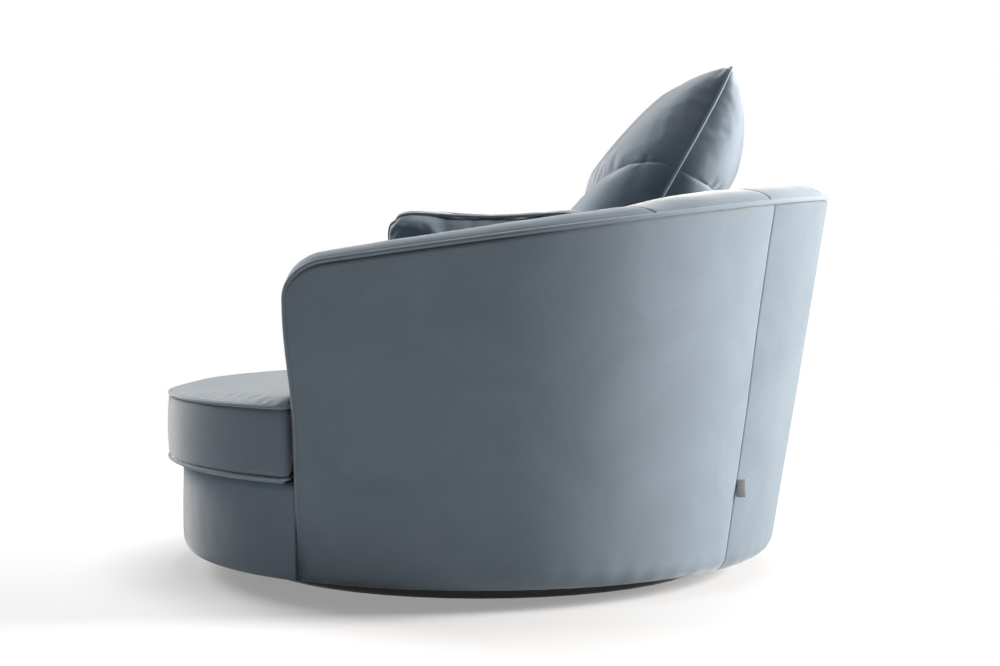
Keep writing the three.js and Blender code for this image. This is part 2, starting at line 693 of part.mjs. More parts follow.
function seatCushion() {
  const plan = closedPlan();
  const bead = seatPiping / 2;
  const top = seatBase + seatBorderHeight;
  const inward = (reach, z) => plan.map((p) => new THREE.Vector3(p.x + p.inX * reach, p.y + p.inY * reach, z));
  const core = seatBackRadius * 0.55;
  const coreY = -seatBackRadius * 0.3;
  const crownRing = (share) => plan.map((p) => {
    const bend = seatBackRadius * 0.17;
    const start = [p.x + p.inX * 2 * bead, p.y + p.inY * 2 * bead];
    const via = [p.x + p.inX * bend, p.y + p.inY * bend];
    const end = [core * Math.cos(p.turn), coreY + core * Math.sin(p.turn)];
    const [x, y] = [0, 1].map((k) =>
      (1 - share) ** 2 * start[k] + 2 * share * (1 - share) * via[k] + share ** 2 * end[k]);
    const reach = share * Math.hypot(end[0] - start[0], end[1] - start[1]);
    return new THREE.Vector3(x, y, top + crownRise(reach));
  });
  const rings = [
    inward(4 * bead, seatBase), inward(1.5 * bead, seatBase + 0.2 * bead), inward(0, seatBase + bead),
    inward(bead, seatBase + 2.2 * bead), inward(bead - seatBorderBulge, seatBase + seatBorderHeight / 3),
    inward(bead - seatBorderBulge, top - seatBorderHeight / 3), inward(bead, top - 2.2 * bead),
    inward(0, top - bead), inward(bead, top), inward(2 * bead, top - 0.3 * bead),
    ...[0.1, 0.25, 0.5, 0.75, 1].map(crownRing),
  ];
  rings.push(plan.map((p) => new THREE.Vector3(
    core * 0.5 * Math.cos(p.turn), coreY + core * 0.5 * Math.sin(p.turn), top + crownRise(seatBackRadius))));
  const count = plan.length;
  const points = [...rings.flat(), new THREE.Vector3(0, coreY, top + crownRise(seatBackRadius))];
  const faces = [];
  for (let j = 0; j < count; j += 1) {
    const k = (j + 1) % count;
    for (let i = 0; i + 1 < rings.length; i += 1) {
      const row = i * count;
      faces.push([row + j, row + k, row + count + k], [row + j, row + count + k, row + count + j]);
    }
    const last = (rings.length - 1) * count;
    faces.push([last + j, last + k, points.length - 1]);
  }
  const base = THREE.ShapeUtils.triangulateShape(rings[0].map((p) => new THREE.Vector2(p.x, p.y)), []);
  for (const [a, b, c] of base) faces.push([a, c, b]);
  return meshGeometry(points, faces);
}

// Height of the crowned seat under a loose cushion that stands on it
function heightOn(mesh) {
  const down = new THREE.Vector3(0, 0, -1);
  return (x, y) => {
    const [hit] = new THREE.Raycaster(new THREE.Vector3(x, y, 2 * rimHeight), down).intersectObject(mesh);
    return hit ? hit.point.z : seatBase + seatBorderHeight;
  };
}

// Knife-edge cushion with piping, sides drawn in between its corners. across and up count the grid, whose
// seam row is moved on to the seam across each face.
function knifeEdgeCushion(cushion, [across, up]) {
  const [width, height] = cushion.size;
  const faces = {
    front: { side: -1, half: cushion.front, sag: cushion.frontSagShare, seam: cushion.frontSeamShares },
    back: { side: 1, half: cushion.back, sag: cushion.backSagShare, seam: cushion.backSeamShare },
  };
  const ease = (t) => Math.sin((t * Math.PI) / 2) * 0.35 + t * 0.65;
  const knot = ease((2 * seamRow) / up - 1);
  const fall = (share, [power, root]) => (1 - Math.abs(share) ** power) ** root;
  const surface = (u, row, { side, half, sag, seam }) => {
    const line = Array.isArray(seam) ? seam[0] + seam[1] * Math.abs(u) ** 1.5 : seam;
    const moved = seam === undefined ? 0 : line - knot;
    const v = row + moved * (row > knot ? (1 - row) / (1 - knot) : (1 + row) / (1 + knot));
    const x = (u * width / 2) * (1 - cushion.pullShare * (1 - v * v) * u * u);
    const z = (v * height / 2) * (1 - cushion.pullShare * (1 - u * u) * v * v);
    const full = fall(u, cushion.fallAcross) * fall((v + sag) / (v > -sag ? 1 + sag : 1 - sag), cushion.fallUp);
    const away = seam === undefined ? 0 : Math.exp(-(((v - line) / cushionSeamWidthShare) ** 2));
    const depth = half * full - cushionSeamGroove * full * away + cushionPiping / 3;
    return new THREE.Vector3(x, side * depth + cushion.bend * v * v, z);
  };
  const grid = (face) => Array.from({ length: (across + 1) * (up + 1) }, (_, n) =>
    surface(ease((2 * (n % (across + 1))) / across - 1), ease((2 * Math.floor(n / (across + 1))) / up - 1), face));
  const rim = [];
  for (let i = 0; i < across; i += 1) rim.push(i);
  for (let j = 0; j < up; j += 1) rim.push(j * (across + 1) + across);
  for (let i = across; i > 0; i -= 1) rim.push(up * (across + 1) + i);
  for (let j = up; j > 0; j -= 1) rim.push(j * (across + 1));
  const front = grid(faces.front);
  const back = grid(faces.back);
  const bead = rim.map((n) => {
    const middle = front[n].clone().add(back[n]).multiplyScalar(0.5);
    const outward = new THREE.Vector3(middle.x, 0, middle.z).normalize().multiplyScalar(cushionPiping / 2);
    return middle.add(outward);
  });
  const points = [...front, ...back, ...bead];
  const triangles = [];
  for (let j = 0; j < up; j += 1) {
    for (let i = 0; i < across; i += 1) {
      const a = j * (across + 1) + i;
      const quad = [a, a + 1, a + across + 2, a + across + 1];
      triangles.push([quad[0], quad[1], quad[2]], [quad[0], quad[2], quad[3]]);
      const [p, q, r, s] = quad.map((n) => n + front.length);
      triangles.push([p, r, q], [p, s, r]);
    }
  }
  rim.forEach((n, i) => {
    const m = rim[(i + 1) % rim.length];
    const [b, c] = [2 * front.length + i, 2 * front.length + ((i + 1) % rim.length)];
    const [far, farNext] = [n + front.length, m + front.length];
    triangles.push([n, b, c], [n, c, m], [b, far, farNext], [b, farNext, c]);
  });
  const radians = THREE.MathUtils.degToRad;
  const [placeX, placeY, placeUp] = cushion.place;
  return meshGeometry(points, triangles)
    .rotateX(-radians(cushion.lean)).rotateZ(radians(cushion.yaw)).translate(placeX, placeY, seatBase + placeUp);
}

// A soft cushion flattens only where it stands on the seat or leans on the wall.
function settled(geometry, seatHeightAt, restGap) {
  const p = geometry.attributes.position;
  for (let i = 0; i < p.count; i += 1) {
    const floor = seatHeightAt(p.getX(i), p.getY(i)) + restGap;
    if (p.getZ(i) < floor) p.setZ(i, floor);
    const z = Math.min(p.getZ(i), rimAt(wallLength / 2));
    const reach = Math.hypot(p.getX(i), p.getY(i));
    const room = outerRadius(z) - wallThickness - pipingRadius - cushionWallGap;
    if (reach > room && p.getZ(i) < rimAt(wallLength / 2) + cappingCornerCrown) {
      p.setX(i, (p.getX(i) * room) / reach);
      p.setY(i, (p.getY(i) * room) / reach);
    }
  }
  return facingOut(geometry);
}

function addCushions() {
  const seatHeightAt = heightOn(addPart('seat_cushion', seatCushion(), cushionVelvet));
  const back = settled(knifeEdgeCushion(backCushion, [16, 16]), seatHeightAt, backCushionRestGap);
  addPart('back_cushion', back, cushionVelvet);
  for (const [side, scatter] of [['left', scatterLeft], ['right', scatterRight]]) {
    const cushion = knifeEdgeCushion(scatter, [12, 12]);
    addPart(`scatter_cushion_${side}`, settled(cushion, seatHeightAt, scatterRestGap), cushionVelvet);
  }
}

// Small folded tag, sewn into the left back seam and left bare
function addTag() {
  const tag = new THREE.BoxGeometry(tagReach, tagThickness, tagHeight);
  const standoff = (tagThickness + flareShare * tagHeight) / 2 + layerGap;
  const root = wallPoint(backSeam, -standoff, tagCentre);
  const tangent = Math.atan2(root.y, root.x) + Math.PI / 2;
  tag.translate(tagReach / 2, 0, 0).rotateZ(tangent - THREE.MathUtils.degToRad(tagTurn));
  addPart('seam_tag', tag.translate(root.x, root.y, root.z), tagWeave);
}

addSwivelBase();
addWallFrame();
addDrumFront();
addDeck();
addWallCovers();
addCushions();
addTag();

export default chair;
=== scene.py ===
# %% [markdown]
# # A round swivel cuddle chair in dusty blue velvet
# The chair is a flared tub wall round a drum seat, and it turns on a ball-bearing base. The solids of the
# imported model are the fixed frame, in metres, with the floor at z = 0, the front towards -Y and the
# sitter's left at +X. The hard pieces stay as they are and get their finishes. Each soft piece is made
# again here as cloth, cord or cushion, in the space that its solid holds.

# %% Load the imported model
import json
import math

import bmesh
import bpy
from mathutils import Matrix, Vector, noise
from mathutils.bvhtree import BVHTree


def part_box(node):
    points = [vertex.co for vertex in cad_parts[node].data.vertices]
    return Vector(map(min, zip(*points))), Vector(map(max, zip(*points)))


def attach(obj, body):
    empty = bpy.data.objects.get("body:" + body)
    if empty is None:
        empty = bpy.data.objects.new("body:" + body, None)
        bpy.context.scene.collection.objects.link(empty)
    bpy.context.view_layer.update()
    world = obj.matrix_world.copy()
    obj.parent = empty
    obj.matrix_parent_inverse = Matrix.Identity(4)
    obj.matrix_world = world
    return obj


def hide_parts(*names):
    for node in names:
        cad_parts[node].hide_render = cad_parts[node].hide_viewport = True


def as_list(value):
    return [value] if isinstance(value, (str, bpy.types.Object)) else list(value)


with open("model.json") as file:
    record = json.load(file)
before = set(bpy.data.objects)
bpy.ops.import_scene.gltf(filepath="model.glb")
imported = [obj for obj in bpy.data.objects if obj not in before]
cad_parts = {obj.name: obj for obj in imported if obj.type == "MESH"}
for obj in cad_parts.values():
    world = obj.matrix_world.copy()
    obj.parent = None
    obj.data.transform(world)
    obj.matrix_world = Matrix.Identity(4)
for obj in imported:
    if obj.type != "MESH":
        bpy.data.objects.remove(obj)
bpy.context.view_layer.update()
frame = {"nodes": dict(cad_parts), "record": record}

nodes = frame["nodes"]
scene = bpy.context.scene

# %% [markdown]
# ## The camera
# The photograph looks at the sitter's left side from about a seat's height, and very slightly down. Its
# place and lens were worked out from the round edges of the seat and the wall, so the outline that the
# camera sees depends on the chair's real size alone.

# %% Camera at the photograph's view
EYE = Vector((3.213, 0.034, 0.537))
PITCH = 0.033
LENS_MM = 60.3

camera_data = bpy.data.cameras.new("photo_camera")
camera_data.lens = LENS_MM
camera_data.sensor_width = 36
camera = bpy.data.objects.new("photo_camera", camera_data)
scene.collection.objects.link(camera)
camera.location = EYE
ahead = Vector((-math.cos(PITCH), 0, -math.sin(PITCH)))
camera.rotation_mode = "QUATERNION"
camera.rotation_quaternion = ahead.to_track_quat("-Z", "Y")
scene.camera = camera
print("camera at", tuple(camera.location), "with a", LENS_MM, "mm lens")

# %% [markdown]
# ## Colour and nodes
# A colour is written as the sRGB hex value that a picture editor shows, and Blender shades with linear
# light, so one function turns the first into the second. One more adds a node to a material, with its
# settings and its links in one call.

# %% Colour and node helpers
def linear(hex_value):
    """The linear colour of an sRGB hex value such as "8B9AA7"."""
    parts = [int(hex_value[i:i + 2], 16) / 255 for i in (0, 2, 4)]
    return tuple(c / 12.92 if c <= 0.04045 else ((c + 0.055) / 1.055) ** 2.4 for c in parts) + (1.0,)


def add(tree, kind, settings=None, **inputs):
    """Adds a node. Each input is a value, or another node's output socket to link from."""
    node = tree.nodes.new(kind)
    for name, value in (settings or {}).items():
        setattr(node, name, value)
    for name, value in inputs.items():
        key = int(name[1:]) if name[0] == "i" and name[1:].isdigit() else name.replace("_", " ")
        socket = node.inputs[key]
        if isinstance(value, bpy.types.NodeSocket):
            tree.links.new(value, socket)
        else:
            socket.default_value = value
    return node


def new_material(name):
    """A material with an empty tree, its output node and a Principled shader."""
    made = bpy.data.materials.new(name)
    made.use_nodes = True
    tree = made.node_tree
    tree.nodes.clear()
    shader = add(tree, "ShaderNodeBsdfPrincipled")
    add(tree, "ShaderNodeOutputMaterial", Surface=shader.outputs[0])
    return made, tree, shader


def ramp(tree, fac, stops, interpolation="LINEAR"):
    """A colour ramp through the given (place, colour) stops."""
    node = add(tree, "ShaderNodeValToRGB", i0=fac)
    node.color_ramp.interpolation = interpolation
    elements = node.color_ramp.elements
    while len(elements) < len(stops):
        elements.new(0.5)
    for element, (place, colour) in zip(elements, stops):
        element.position, element.color = place, colour
    return node.outputs[0]

# %% [markdown]
# ## Floor, backdrop and lamps
# The studio is a white sweep. The floor is one large pale plane: the lamps light it and the chair
# shades it, and for the camera, and for reflections, it glows a little as well, so that it reaches white
# away from the shadow. The world is white to the camera and dark grey to everything else. A soft box stands
# well behind the chair and one before it on the far side, so that their light stops on the round wall as
# sharply as in the photograph. A large one hangs over it. The camera's side stays darker, which gives the
# velvet its dark face and its bright edges. The box behind is a little warmer than the others, because the
# photograph's bright side is nearly grey and its dark side blue.

# %% Floor
def seen_directly(tree):
    """1 for a ray from the camera, or one reflected or refracted by the object, else 0."""
    path = add(tree, "ShaderNodeLightPath")
    either = add(tree, "ShaderNodeMath", {"operation": "MAXIMUM"},
                 i0=path.outputs["Is Camera Ray"], i1=path.outputs["Is Glossy Ray"])
    return add(tree, "ShaderNodeMath", {"operation": "MAXIMUM"},
               i0=either.outputs[0], i1=path.outputs["Is Transmission Ray"]).outputs[0]


FLOOR_GLOW = 0.3
WHITE_FROM, WHITE_BY = 1.3, 2.4
floor_finish = bpy.data.materials.new("white_studio_floor")
floor_finish.use_nodes = True
tree = floor_finish.node_tree
tree.nodes.clear()
paint = add(tree, "ShaderNodeBsdfDiffuse", Color=linear("C6C8CB"))
glow_amount = add(tree, "ShaderNodeMath", {"operation": "MULTIPLY"}, i0=seen_directly(tree), i1=FLOOR_GLOW)
glow = add(tree, "ShaderNodeEmission", Color=linear("FFFFFF"), Strength=glow_amount.outputs[0])
near = add(tree, "ShaderNodeAddShader", i0=paint.outputs[0], i1=glow.outputs[0])
place = add(tree, "ShaderNodeTexCoord").outputs["Object"]
from_middle = add(tree, "ShaderNodeVectorMath", {"operation": "LENGTH"}, i0=place)
far_share = add(tree, "ShaderNodeMapRange", {"interpolation_type": "SMOOTHSTEP"},
                Value=from_middle.outputs["Value"], From_Min=WHITE_FROM, From_Max=WHITE_BY)
white_share = add(tree, "ShaderNodeMath", {"operation": "MULTIPLY"},
                  i0=far_share.outputs[0], i1=seen_directly(tree))
white = add(tree, "ShaderNodeEmission", Color=linear("FFFFFF"), Strength=1.0)
sweep = add(tree, "ShaderNodeMixShader", i0=white_share.outputs[0], i1=near.outputs[0], i2=white.outputs[0])
add(tree, "ShaderNodeOutputMaterial", Surface=sweep.outputs[0])

bm = bmesh.new()
bmesh.ops.create_grid(bm, x_segments=1, y_segments=1, size=30)
floor_mesh = bpy.data.meshes.new("studio_floor")
bm.to_mesh(floor_mesh)
bm.free()
floor_mesh.materials.append(floor_finish)
studio_floor = bpy.data.objects.new("studio_floor", floor_mesh)
scene.collection.objects.link(studio_floor)
print("floor:", tuple(studio_floor.dimensions))

# %% World and lamps
world = bpy.data.worlds.new("white_studio")
world.use_nodes = True
tree = world.node_tree
tree.nodes.clear()
AMBIENT = 0.03
strength = add(tree, "ShaderNodeMapRange", Value=seen_directly(tree), To_Min=AMBIENT, To_Max=1.0)
sky = add(tree, "ShaderNodeBackground", Color=linear("FFFFFF"), Strength=strength.outputs[0])
add(tree, "ShaderNodeOutputWorld", Surface=sky.outputs[0])
scene.world = world
scene.view_settings.view_transform = "Standard"


def soft_box(name, place, aim, size, watts, colour=(1.0, 0.965, 0.93)):
    """A rectangular lamp at place that faces aim."""
    lamp = bpy.data.lights.new(name, "AREA")
    lamp.shape, lamp.energy, lamp.color = "RECTANGLE", watts, colour
    lamp.size, lamp.size_y = size
    held = bpy.data.objects.new(name, lamp)
    scene.collection.objects.link(held)
    held.location = place
    held.rotation_mode = "QUATERNION"
    held.rotation_quaternion = (Vector(aim) - Vector(place)).to_track_quat("-Z", "Y")
    held.visible_camera = False


soft_box("box_behind", (-0.25, 4.85, 1.66), (0, 0, 0.45), (1.7, 1.6), 680, (1.0, 0.945, 0.885))
soft_box("box_far_front", (-3.3, -3.42, 2.0), (0, 0, 0.45), (2.3, 1.6), 290)
soft_box("box_overhead", (-0.5, 0.1, 4.2), (0, 0, 0.4), (2.4, 2.4), 135)

# %% [markdown]
# ## Velvet
# Velvet is a woven backing with a dense cut pile of upright fibres. Looked at straight on, the light falls
# between the fibres and the cloth is dark; along its edges the fibres' sides catch the light and it turns
# pale. That is what the shader's sheen does. The pile also leans this way and that where hands and the
# upholsterer's brush have passed, which shows as soft lighter and darker clouds a hand wide, and its tips
# give a fine grain. A cut pile is about 1.5 mm long in threads 0.4 mm apart. Threads that fine would not
# show here, so the grain is drawn at 1.3 mm.

# %% Velvet
PILE_GRAIN_MM = 1.3
PILE_CLOUD_MM = 160


def velvet(name, face, shade, grain_depth=0.5, sheen=1.0):
    """Cut-pile velvet. face is the colour of the pile's tips and shade the colour between them."""
    made, tree, shader = new_material(name)
    place = add(tree, "ShaderNodeTexCoord").outputs["Object"]
    clouds = add(tree, "ShaderNodeTexNoise", Vector=place, Scale=1000 / PILE_CLOUD_MM, Detail=3.0,
                 Roughness=0.55, Distortion=0.8)
    grain = add(tree, "ShaderNodeTexNoise", Vector=place, Scale=1000 / PILE_GRAIN_MM, Detail=2.0, Roughness=0.6)
    cloud_colour = ramp(tree, clouds.outputs[0], [(0.3, linear(shade)), (0.7, linear(face))])
    fibre = add(tree, "ShaderNodeMapRange", Value=grain.outputs[0], From_Min=0.3, From_Max=0.7,
                To_Min=0.9, To_Max=1.08)
    tone = add(tree, "ShaderNodeMix", {"data_type": "RGBA", "blend_type": "MULTIPLY"}, i0=1.0,
               i6=cloud_colour, i7=fibre.outputs[0])
    tree.links.new(tone.outputs[2], shader.inputs["Base Color"])
    rough = add(tree, "ShaderNodeMapRange", Value=clouds.outputs[0], From_Min=0.3, From_Max=0.7,
                To_Min=0.78, To_Max=0.9)
    tree.links.new(rough.outputs[0], shader.inputs["Roughness"])
    pile = add(tree, "ShaderNodeBump", Strength=grain_depth, Distance=0.0004, Height=grain.outputs[0])
    leaning = add(tree, "ShaderNodeBump", Strength=0.25, Distance=0.004, Height=clouds.outputs[0],
                  Normal=pile.outputs[0])
    tree.links.new(leaning.outputs[0], shader.inputs["Normal"])
    shader.inputs["Specular IOR Level"].default_value = 0.15
    shader.inputs["Sheen Weight"].default_value = sheen
    shader.inputs["Sheen Roughness"].default_value = 0.32
    shader.inputs["Sheen Tint"].default_value = linear("E2E2E0")
    return made


# One velvet covers the whole chair, and on the wall it has its full sheen. The cover of the back is a darker
# copy with less sheen. This is painted shade that holds it down in the light of the box behind.
wall_velvet = velvet("velvet_wall", "828F9C", "788591")
rear_cover_painted_shade_velvet = velvet("velvet_rear_cover_painted_shade", "727F8A", "697580", sheen=0.4)
# The capping is two copies of the velvet. On the arms it is darker with little sheen, which is painted shade.
# On the corners and the back it is lighter with more sheen, which is painted light.
arm_capping_painted_shade_velvet = velvet("velvet_arm_capping_painted_shade", "75828E", "6C7985", sheen=0.2)
rear_capping_painted_light_velvet = velvet("velvet_rear_capping_painted_light", "7E8B98", "74818D", sheen=0.75)
# The loose cushions' covers are a shade lighter. The cords are lighter copies of the velvet, which is a painted
# highlight along each cord.
cushion_velvet = velvet("velvet_cushion", "84919E", "7A8793")
cord_painted_highlight_velvet = velvet("velvet_cord_painted_highlight", "8895A1", "7E8A96", grain_depth=0.3, sheen=0.5)
cushion_cord_painted_highlight_velvet = velvet("velvet_cushion_cord_painted_highlight", "93A0AC", "8895A1", grain_depth=0.3, sheen=0.6)
print("velvets:", wall_velvet.name, cushion_velvet.name, cord_painted_highlight_velvet.name)

# %% [markdown]
# ## Boards, metal and linings
# Under the cloth the chair is birch plywood, planed softwood, zinc-plated turntable rings and oiled zigzag
# springs. They hardly show, but each solid keeps its place in the library, so each gets its own finish. One
# function makes them all: a noise or cell pattern, stretched along the grain, sets colour, roughness and a
# shallow bump. Plywood also shows its plies wherever a face isn't level. Real plies are 1.4 mm thick, and
# are drawn at 2.5 mm so that they show.

# %% Hard finishes
PLY_MM = 2.5


def mottled(name, light, dark, size_mm, stretch=(1, 1, 1), rough=(0.5, 0.7), depth_mm=0.1,
            metallic=0.0, cells=False):
    """A material whose colour, roughness and height follow one pattern of marks size_mm apart."""
    made, tree, shader = new_material(name)
    place = add(tree, "ShaderNodeTexCoord").outputs["Object"]
    along = add(tree, "ShaderNodeMapping", Vector=place, Scale=stretch)
    marks = add(tree, "ShaderNodeTexVoronoi" if cells else "ShaderNodeTexNoise", Vector=along.outputs[0],
                Scale=1000 / size_mm)
    fine = add(tree, "ShaderNodeTexNoise", Vector=along.outputs[0], Scale=4000 / size_mm, Detail=4.0)
    both = add(tree, "ShaderNodeMath", {"operation": "MULTIPLY_ADD"},
               i0=fine.outputs[0], i1=0.35, i2=marks.outputs[0])
    colour = ramp(tree, both.outputs[0], [(0.4, linear(dark)), (0.95, linear(light))])
    tree.links.new(colour, shader.inputs["Base Color"])
    level = add(tree, "ShaderNodeMapRange", Value=both.outputs[0], From_Min=0.4, From_Max=0.95,
                To_Min=rough[0], To_Max=rough[1])
    tree.links.new(level.outputs[0], shader.inputs["Roughness"])
    bump = add(tree, "ShaderNodeBump", Strength=0.6, Distance=depth_mm / 1000, Height=both.outputs[0])
    tree.links.new(bump.outputs[0], shader.inputs["Normal"])
    shader.inputs["Metallic"].default_value = metallic
    return made


def with_plies(made):
    """Draws the plies on the faces of a plywood that aren't level."""
    tree = made.node_tree
    shader = next(n for n in tree.nodes if n.type == "BSDF_PRINCIPLED")
    grain = shader.inputs["Base Color"].links[0].from_socket
    where = add(tree, "ShaderNodeTexCoord")
    plies = add(tree, "ShaderNodeTexWave", {"bands_direction": "Z"}, Vector=where.outputs["Object"],
                Scale=1000 / PLY_MM / 20, Distortion=0.4)
    facing = add(tree, "ShaderNodeSeparateXYZ", Vector=where.outputs["Normal"])
    upright = add(tree, "ShaderNodeMath", {"operation": "LESS_THAN"}, i0=facing.outputs[2], i1=0.5)
    share = add(tree, "ShaderNodeMath", {"operation": "MULTIPLY"},
                i0=plies.outputs["Fac"], i1=upright.outputs[0])
    darker = add(tree, "ShaderNodeMix", {"data_type": "RGBA"},
                 i0=share.outputs[0], i6=grain, i7=linear("8A6A42"))
    tree.links.new(darker.outputs[2], shader.inputs["Base Color"])
    return made


finishes = {
    # Satin lacquer, sprayed on board: near black, with a soft low shine.
    "black_board": mottled("black_satin_lacquer", "1D1E20", "121315", 0.9, rough=(0.28, 0.4), depth_mm=0.02),
    # Zinc plating: bright grey metal in faint flakes that differ in shine.
    "zinc_steel": mottled("bright_zinc_plate", "C3C6C9", "A2A6AA", 12, rough=(0.26, 0.42), depth_mm=0.01,
                          metallic=1.0, cells=True),
    # Drawn and oiled wire: a darker metal with a streaky gloss.
    "spring_steel": mottled("oiled_spring_wire", "767A7E", "54585C", 5, rough=(0.25, 0.4), depth_mm=0.03,
                            metallic=1.0),
    # Raw veneer: warm, dull, with long grain on its faces and stripes of plies on its edges.
    "plywood": with_plies(mottled("raw_birch_plywood", "D2B184", "B98F5C", 9, stretch=(0.1, 1, 1))),
    # Planed softwood: the same warmth with upright grain, and a little smoother.
    "timber": mottled("planed_softwood", "C79D6B", "A47A4A", 11, stretch=(1, 1, 0.09), rough=(0.45, 0.65)),
}
slots_of = {part["node"]: part["material_slot"] for part in frame["record"]["subparts"]}
for name, solid in nodes.items():
    finish = finishes.get(slots_of[name])
    if finish:
        for held in solid.material_slots:
            held.link, held.material = "OBJECT", finish
# Needled felt is matt and fluffy. Spun-bonded lining is thin and dull, pressed in a fine pattern of dots.
# The ribbon shows the ribs of its weave.
felt = mottled("needled_felt", "B4B0A6", "96928A", 3, rough=(0.95, 1.0), depth_mm=0.5)
lining = mottled("spun_bonded_lining", "44474A", "303336", 2.2, rough=(0.75, 0.9), depth_mm=0.12, cells=True)
ribbon = mottled("woven_ribbon", "84888B", "5F6366", 1.1, stretch=(1, 1, 0.35), rough=(0.6, 0.8),
                 depth_mm=0.25, cells=True)
print("finished solids:", sum(slots_of[name] in finishes for name in nodes))

# %% [markdown]
# ## The wall, unrolled
# The upholsterer cuts the wall's covers flat and bends them round a frame that leans outwards. The script
# does the same: a piece is laid out by its run along the wall, its depth in from the outer face and its
# height, and one function rolls such a point up to its place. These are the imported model's own sizes, so
# what is rolled up lands on its solids.

# %% Sizes of the wall, and rolling up
FOOT_RADIUS = 0.545
BODY_BOTTOM = 0.035
FLARE = 0.158
WALL = 0.130
PAD = 0.050
ARM_FRONT = 0.296
FRONT_LEAN, LEAN_FROM, LEAN_TO = 0.013, 0.290, 0.480
CORNER_REACH, CORNER_DROP = 0.064, 0.060
RIM_HEIGHT = 0.597
RIM_TILT = 0.135
PIPING_RADIUS = 0.0045
PIPING_RISE = 0.003
SEAT_BASE = 0.2002
CORNER_SEAM = 0.233
BACK_SEAM = 0.33


def outer_radius(z):
    return FOOT_RADIUS + FLARE * (z - BODY_BOTTOM)


MEAN_RADIUS = outer_radius(RIM_HEIGHT / 2) - WALL / 2
WALL_LENGTH = MEAN_RADIUS * (math.pi - 2 * math.asin(-ARM_FRONT / MEAN_RADIUS))


def arm_front_at(z):
    """The arm fronts lie across the chair, and their upper part leans forwards."""
    share = min(1.0, max(0.0, (z - LEAN_FROM) / (LEAN_TO - LEAN_FROM)))
    return ARM_FRONT + FRONT_LEAN * share * share * (3 - 2 * share)


def wall_angle(run, radius, z):
    """The angle of a run depends on the radius and the height too, because of where the arm fronts are."""
    start = math.asin(-arm_front_at(z) / radius)
    return start + run / WALL_LENGTH * (math.pi - 2 * start)


def rolled(run, depth, z):
    """The place of a point of the unrolled wall."""
    radius = outer_radius(z) - depth
    angle = wall_angle(run, radius, z)
    return Vector((radius * math.cos(angle), radius * math.sin(angle), z))


def rim_at(run):
    """Height of the wall's edge, which climbs from the arms to the back."""
    z = RIM_HEIGHT
    for _ in range(6):
        radius = outer_radius(z)
        z = RIM_HEIGHT - PIPING_RISE + RIM_TILT * radius * math.sin(wall_angle(run, radius, z))
    return z


corner_centre = rim_at(CORNER_REACH) - CORNER_DROP
rim_slope = (rim_at(CORNER_REACH + 0.001) - rim_at(CORNER_REACH)) / 0.001
print("wall length", round(WALL_LENGTH, 4))
print("rim from", round(rim_at(0), 4), "to", round(rim_at(WALL_LENGTH / 2), 4))

# %% [markdown]
# ## Stations along the edge
# The capping and its pipings follow one line: up the front of an arm, round its corner, along the rim and
# down the other arm. A station on it holds its run and height, and the way out of the edge there.

# %% Stations
def evenly(a, b, steps):
    return [a + (b - a) * i / steps for i in range(steps + 1)]


def front_stations(low, spacing):
    steps = max(2, round((corner_centre - low) / spacing))
    return [(0.0, z, -1.0, 0.0) for z in evenly(low, corner_centre, steps)]


def corner_stations(spacing):
    stations = []
    for a in evenly(math.pi, math.pi / 2, round(CORNER_REACH * math.pi / 2 / spacing)):
        reach = CORNER_REACH * math.cos(a)
        z = corner_centre + CORNER_DROP * math.sin(a) + rim_slope * reach * math.sin(a) ** 2
        way = Vector((math.cos(a) / CORNER_REACH, math.sin(a) / CORNER_DROP)).normalized()
        stations.append((CORNER_REACH + reach, z, way.x, way.y))
    return stations


def rim_stations(start, end, spacing):
    steps = max(2, round((end - start) / spacing))
    return [(run, rim_at(run), 0.0, 1.0) for run in evenly(start, end, steps)]


def other_side(stations):
    return [(WALL_LENGTH - run, z, -out, up) for run, z, out, up in reversed(stations)]


def on_edge(station, depth, height):
    """The place of a point at a depth, and a height over the edge, at a station."""
    run, z, out, up = station
    return rolled(run + out * height, depth, z + up * height)


print("corner stations:", len(corner_stations(0.006)))

# %% [markdown]
# ## From a net of faces to a finished piece
# Most covers start from one flat net of faces, made with the grid operator. A function then carries every
# point of the net to its place. Where the net goes all the way round, as on a capping or a cord, its two
# long edges are welded and its open ends filled, so that the piece is closed and its faces point outwards.

# %% Nets and pieces
def net(columns, rows, place, closed=False):
    """A grid of faces whose point (i, j) goes to place(i, j). A closed one is welded and its ends filled."""
    bm = bmesh.new()
    bmesh.ops.create_grid(bm, x_segments=columns, y_segments=rows, size=0.5)
    for v in bm.verts:
        v.co = place(round((v.co.x + 0.5) * columns), round((v.co.y + 0.5) * rows))
    if closed:
        bmesh.ops.remove_doubles(bm, verts=bm.verts, dist=1e-6)
        rims = [e for e in bm.edges if e.is_boundary]
        if rims:
            bmesh.ops.holes_fill(bm, edges=rims, sides=0)
    bmesh.ops.recalc_face_normals(bm, faces=bm.faces)
    if closed and bm.calc_volume(signed=True) < 0:
        bmesh.ops.reverse_faces(bm, faces=bm.faces)
    return bm


def finished(bm, name, material, body, slot, stands_for=()):
    """Turns a bmesh into a piece of the chair that rides on a body and stands for some solids."""
    mesh = bpy.data.meshes.new(name)
    bm.to_mesh(mesh)
    bm.free()
    mesh.materials.append(material)
    mesh.shade_smooth()
    piece = bpy.data.objects.new(name, mesh)
    scene.collection.objects.link(piece)
    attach(piece, body)
    if stands_for:
        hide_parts(*stands_for)
    return piece


def flipped(bm):
    """The same piece for the other side of the chair, its faces turned outwards again."""
    bmesh.ops.scale(bm, vec=(-1, 1, 1), verts=bm.verts)
    bmesh.ops.reverse_faces(bm, faces=bm.faces)
    return bm


def ripple(x, y, z, size):
    """Smooth noise from -1 to 1 whose hills are about size metres apart."""
    return noise.noise(Vector((x, y, z)) / size)


print("helpers ready")

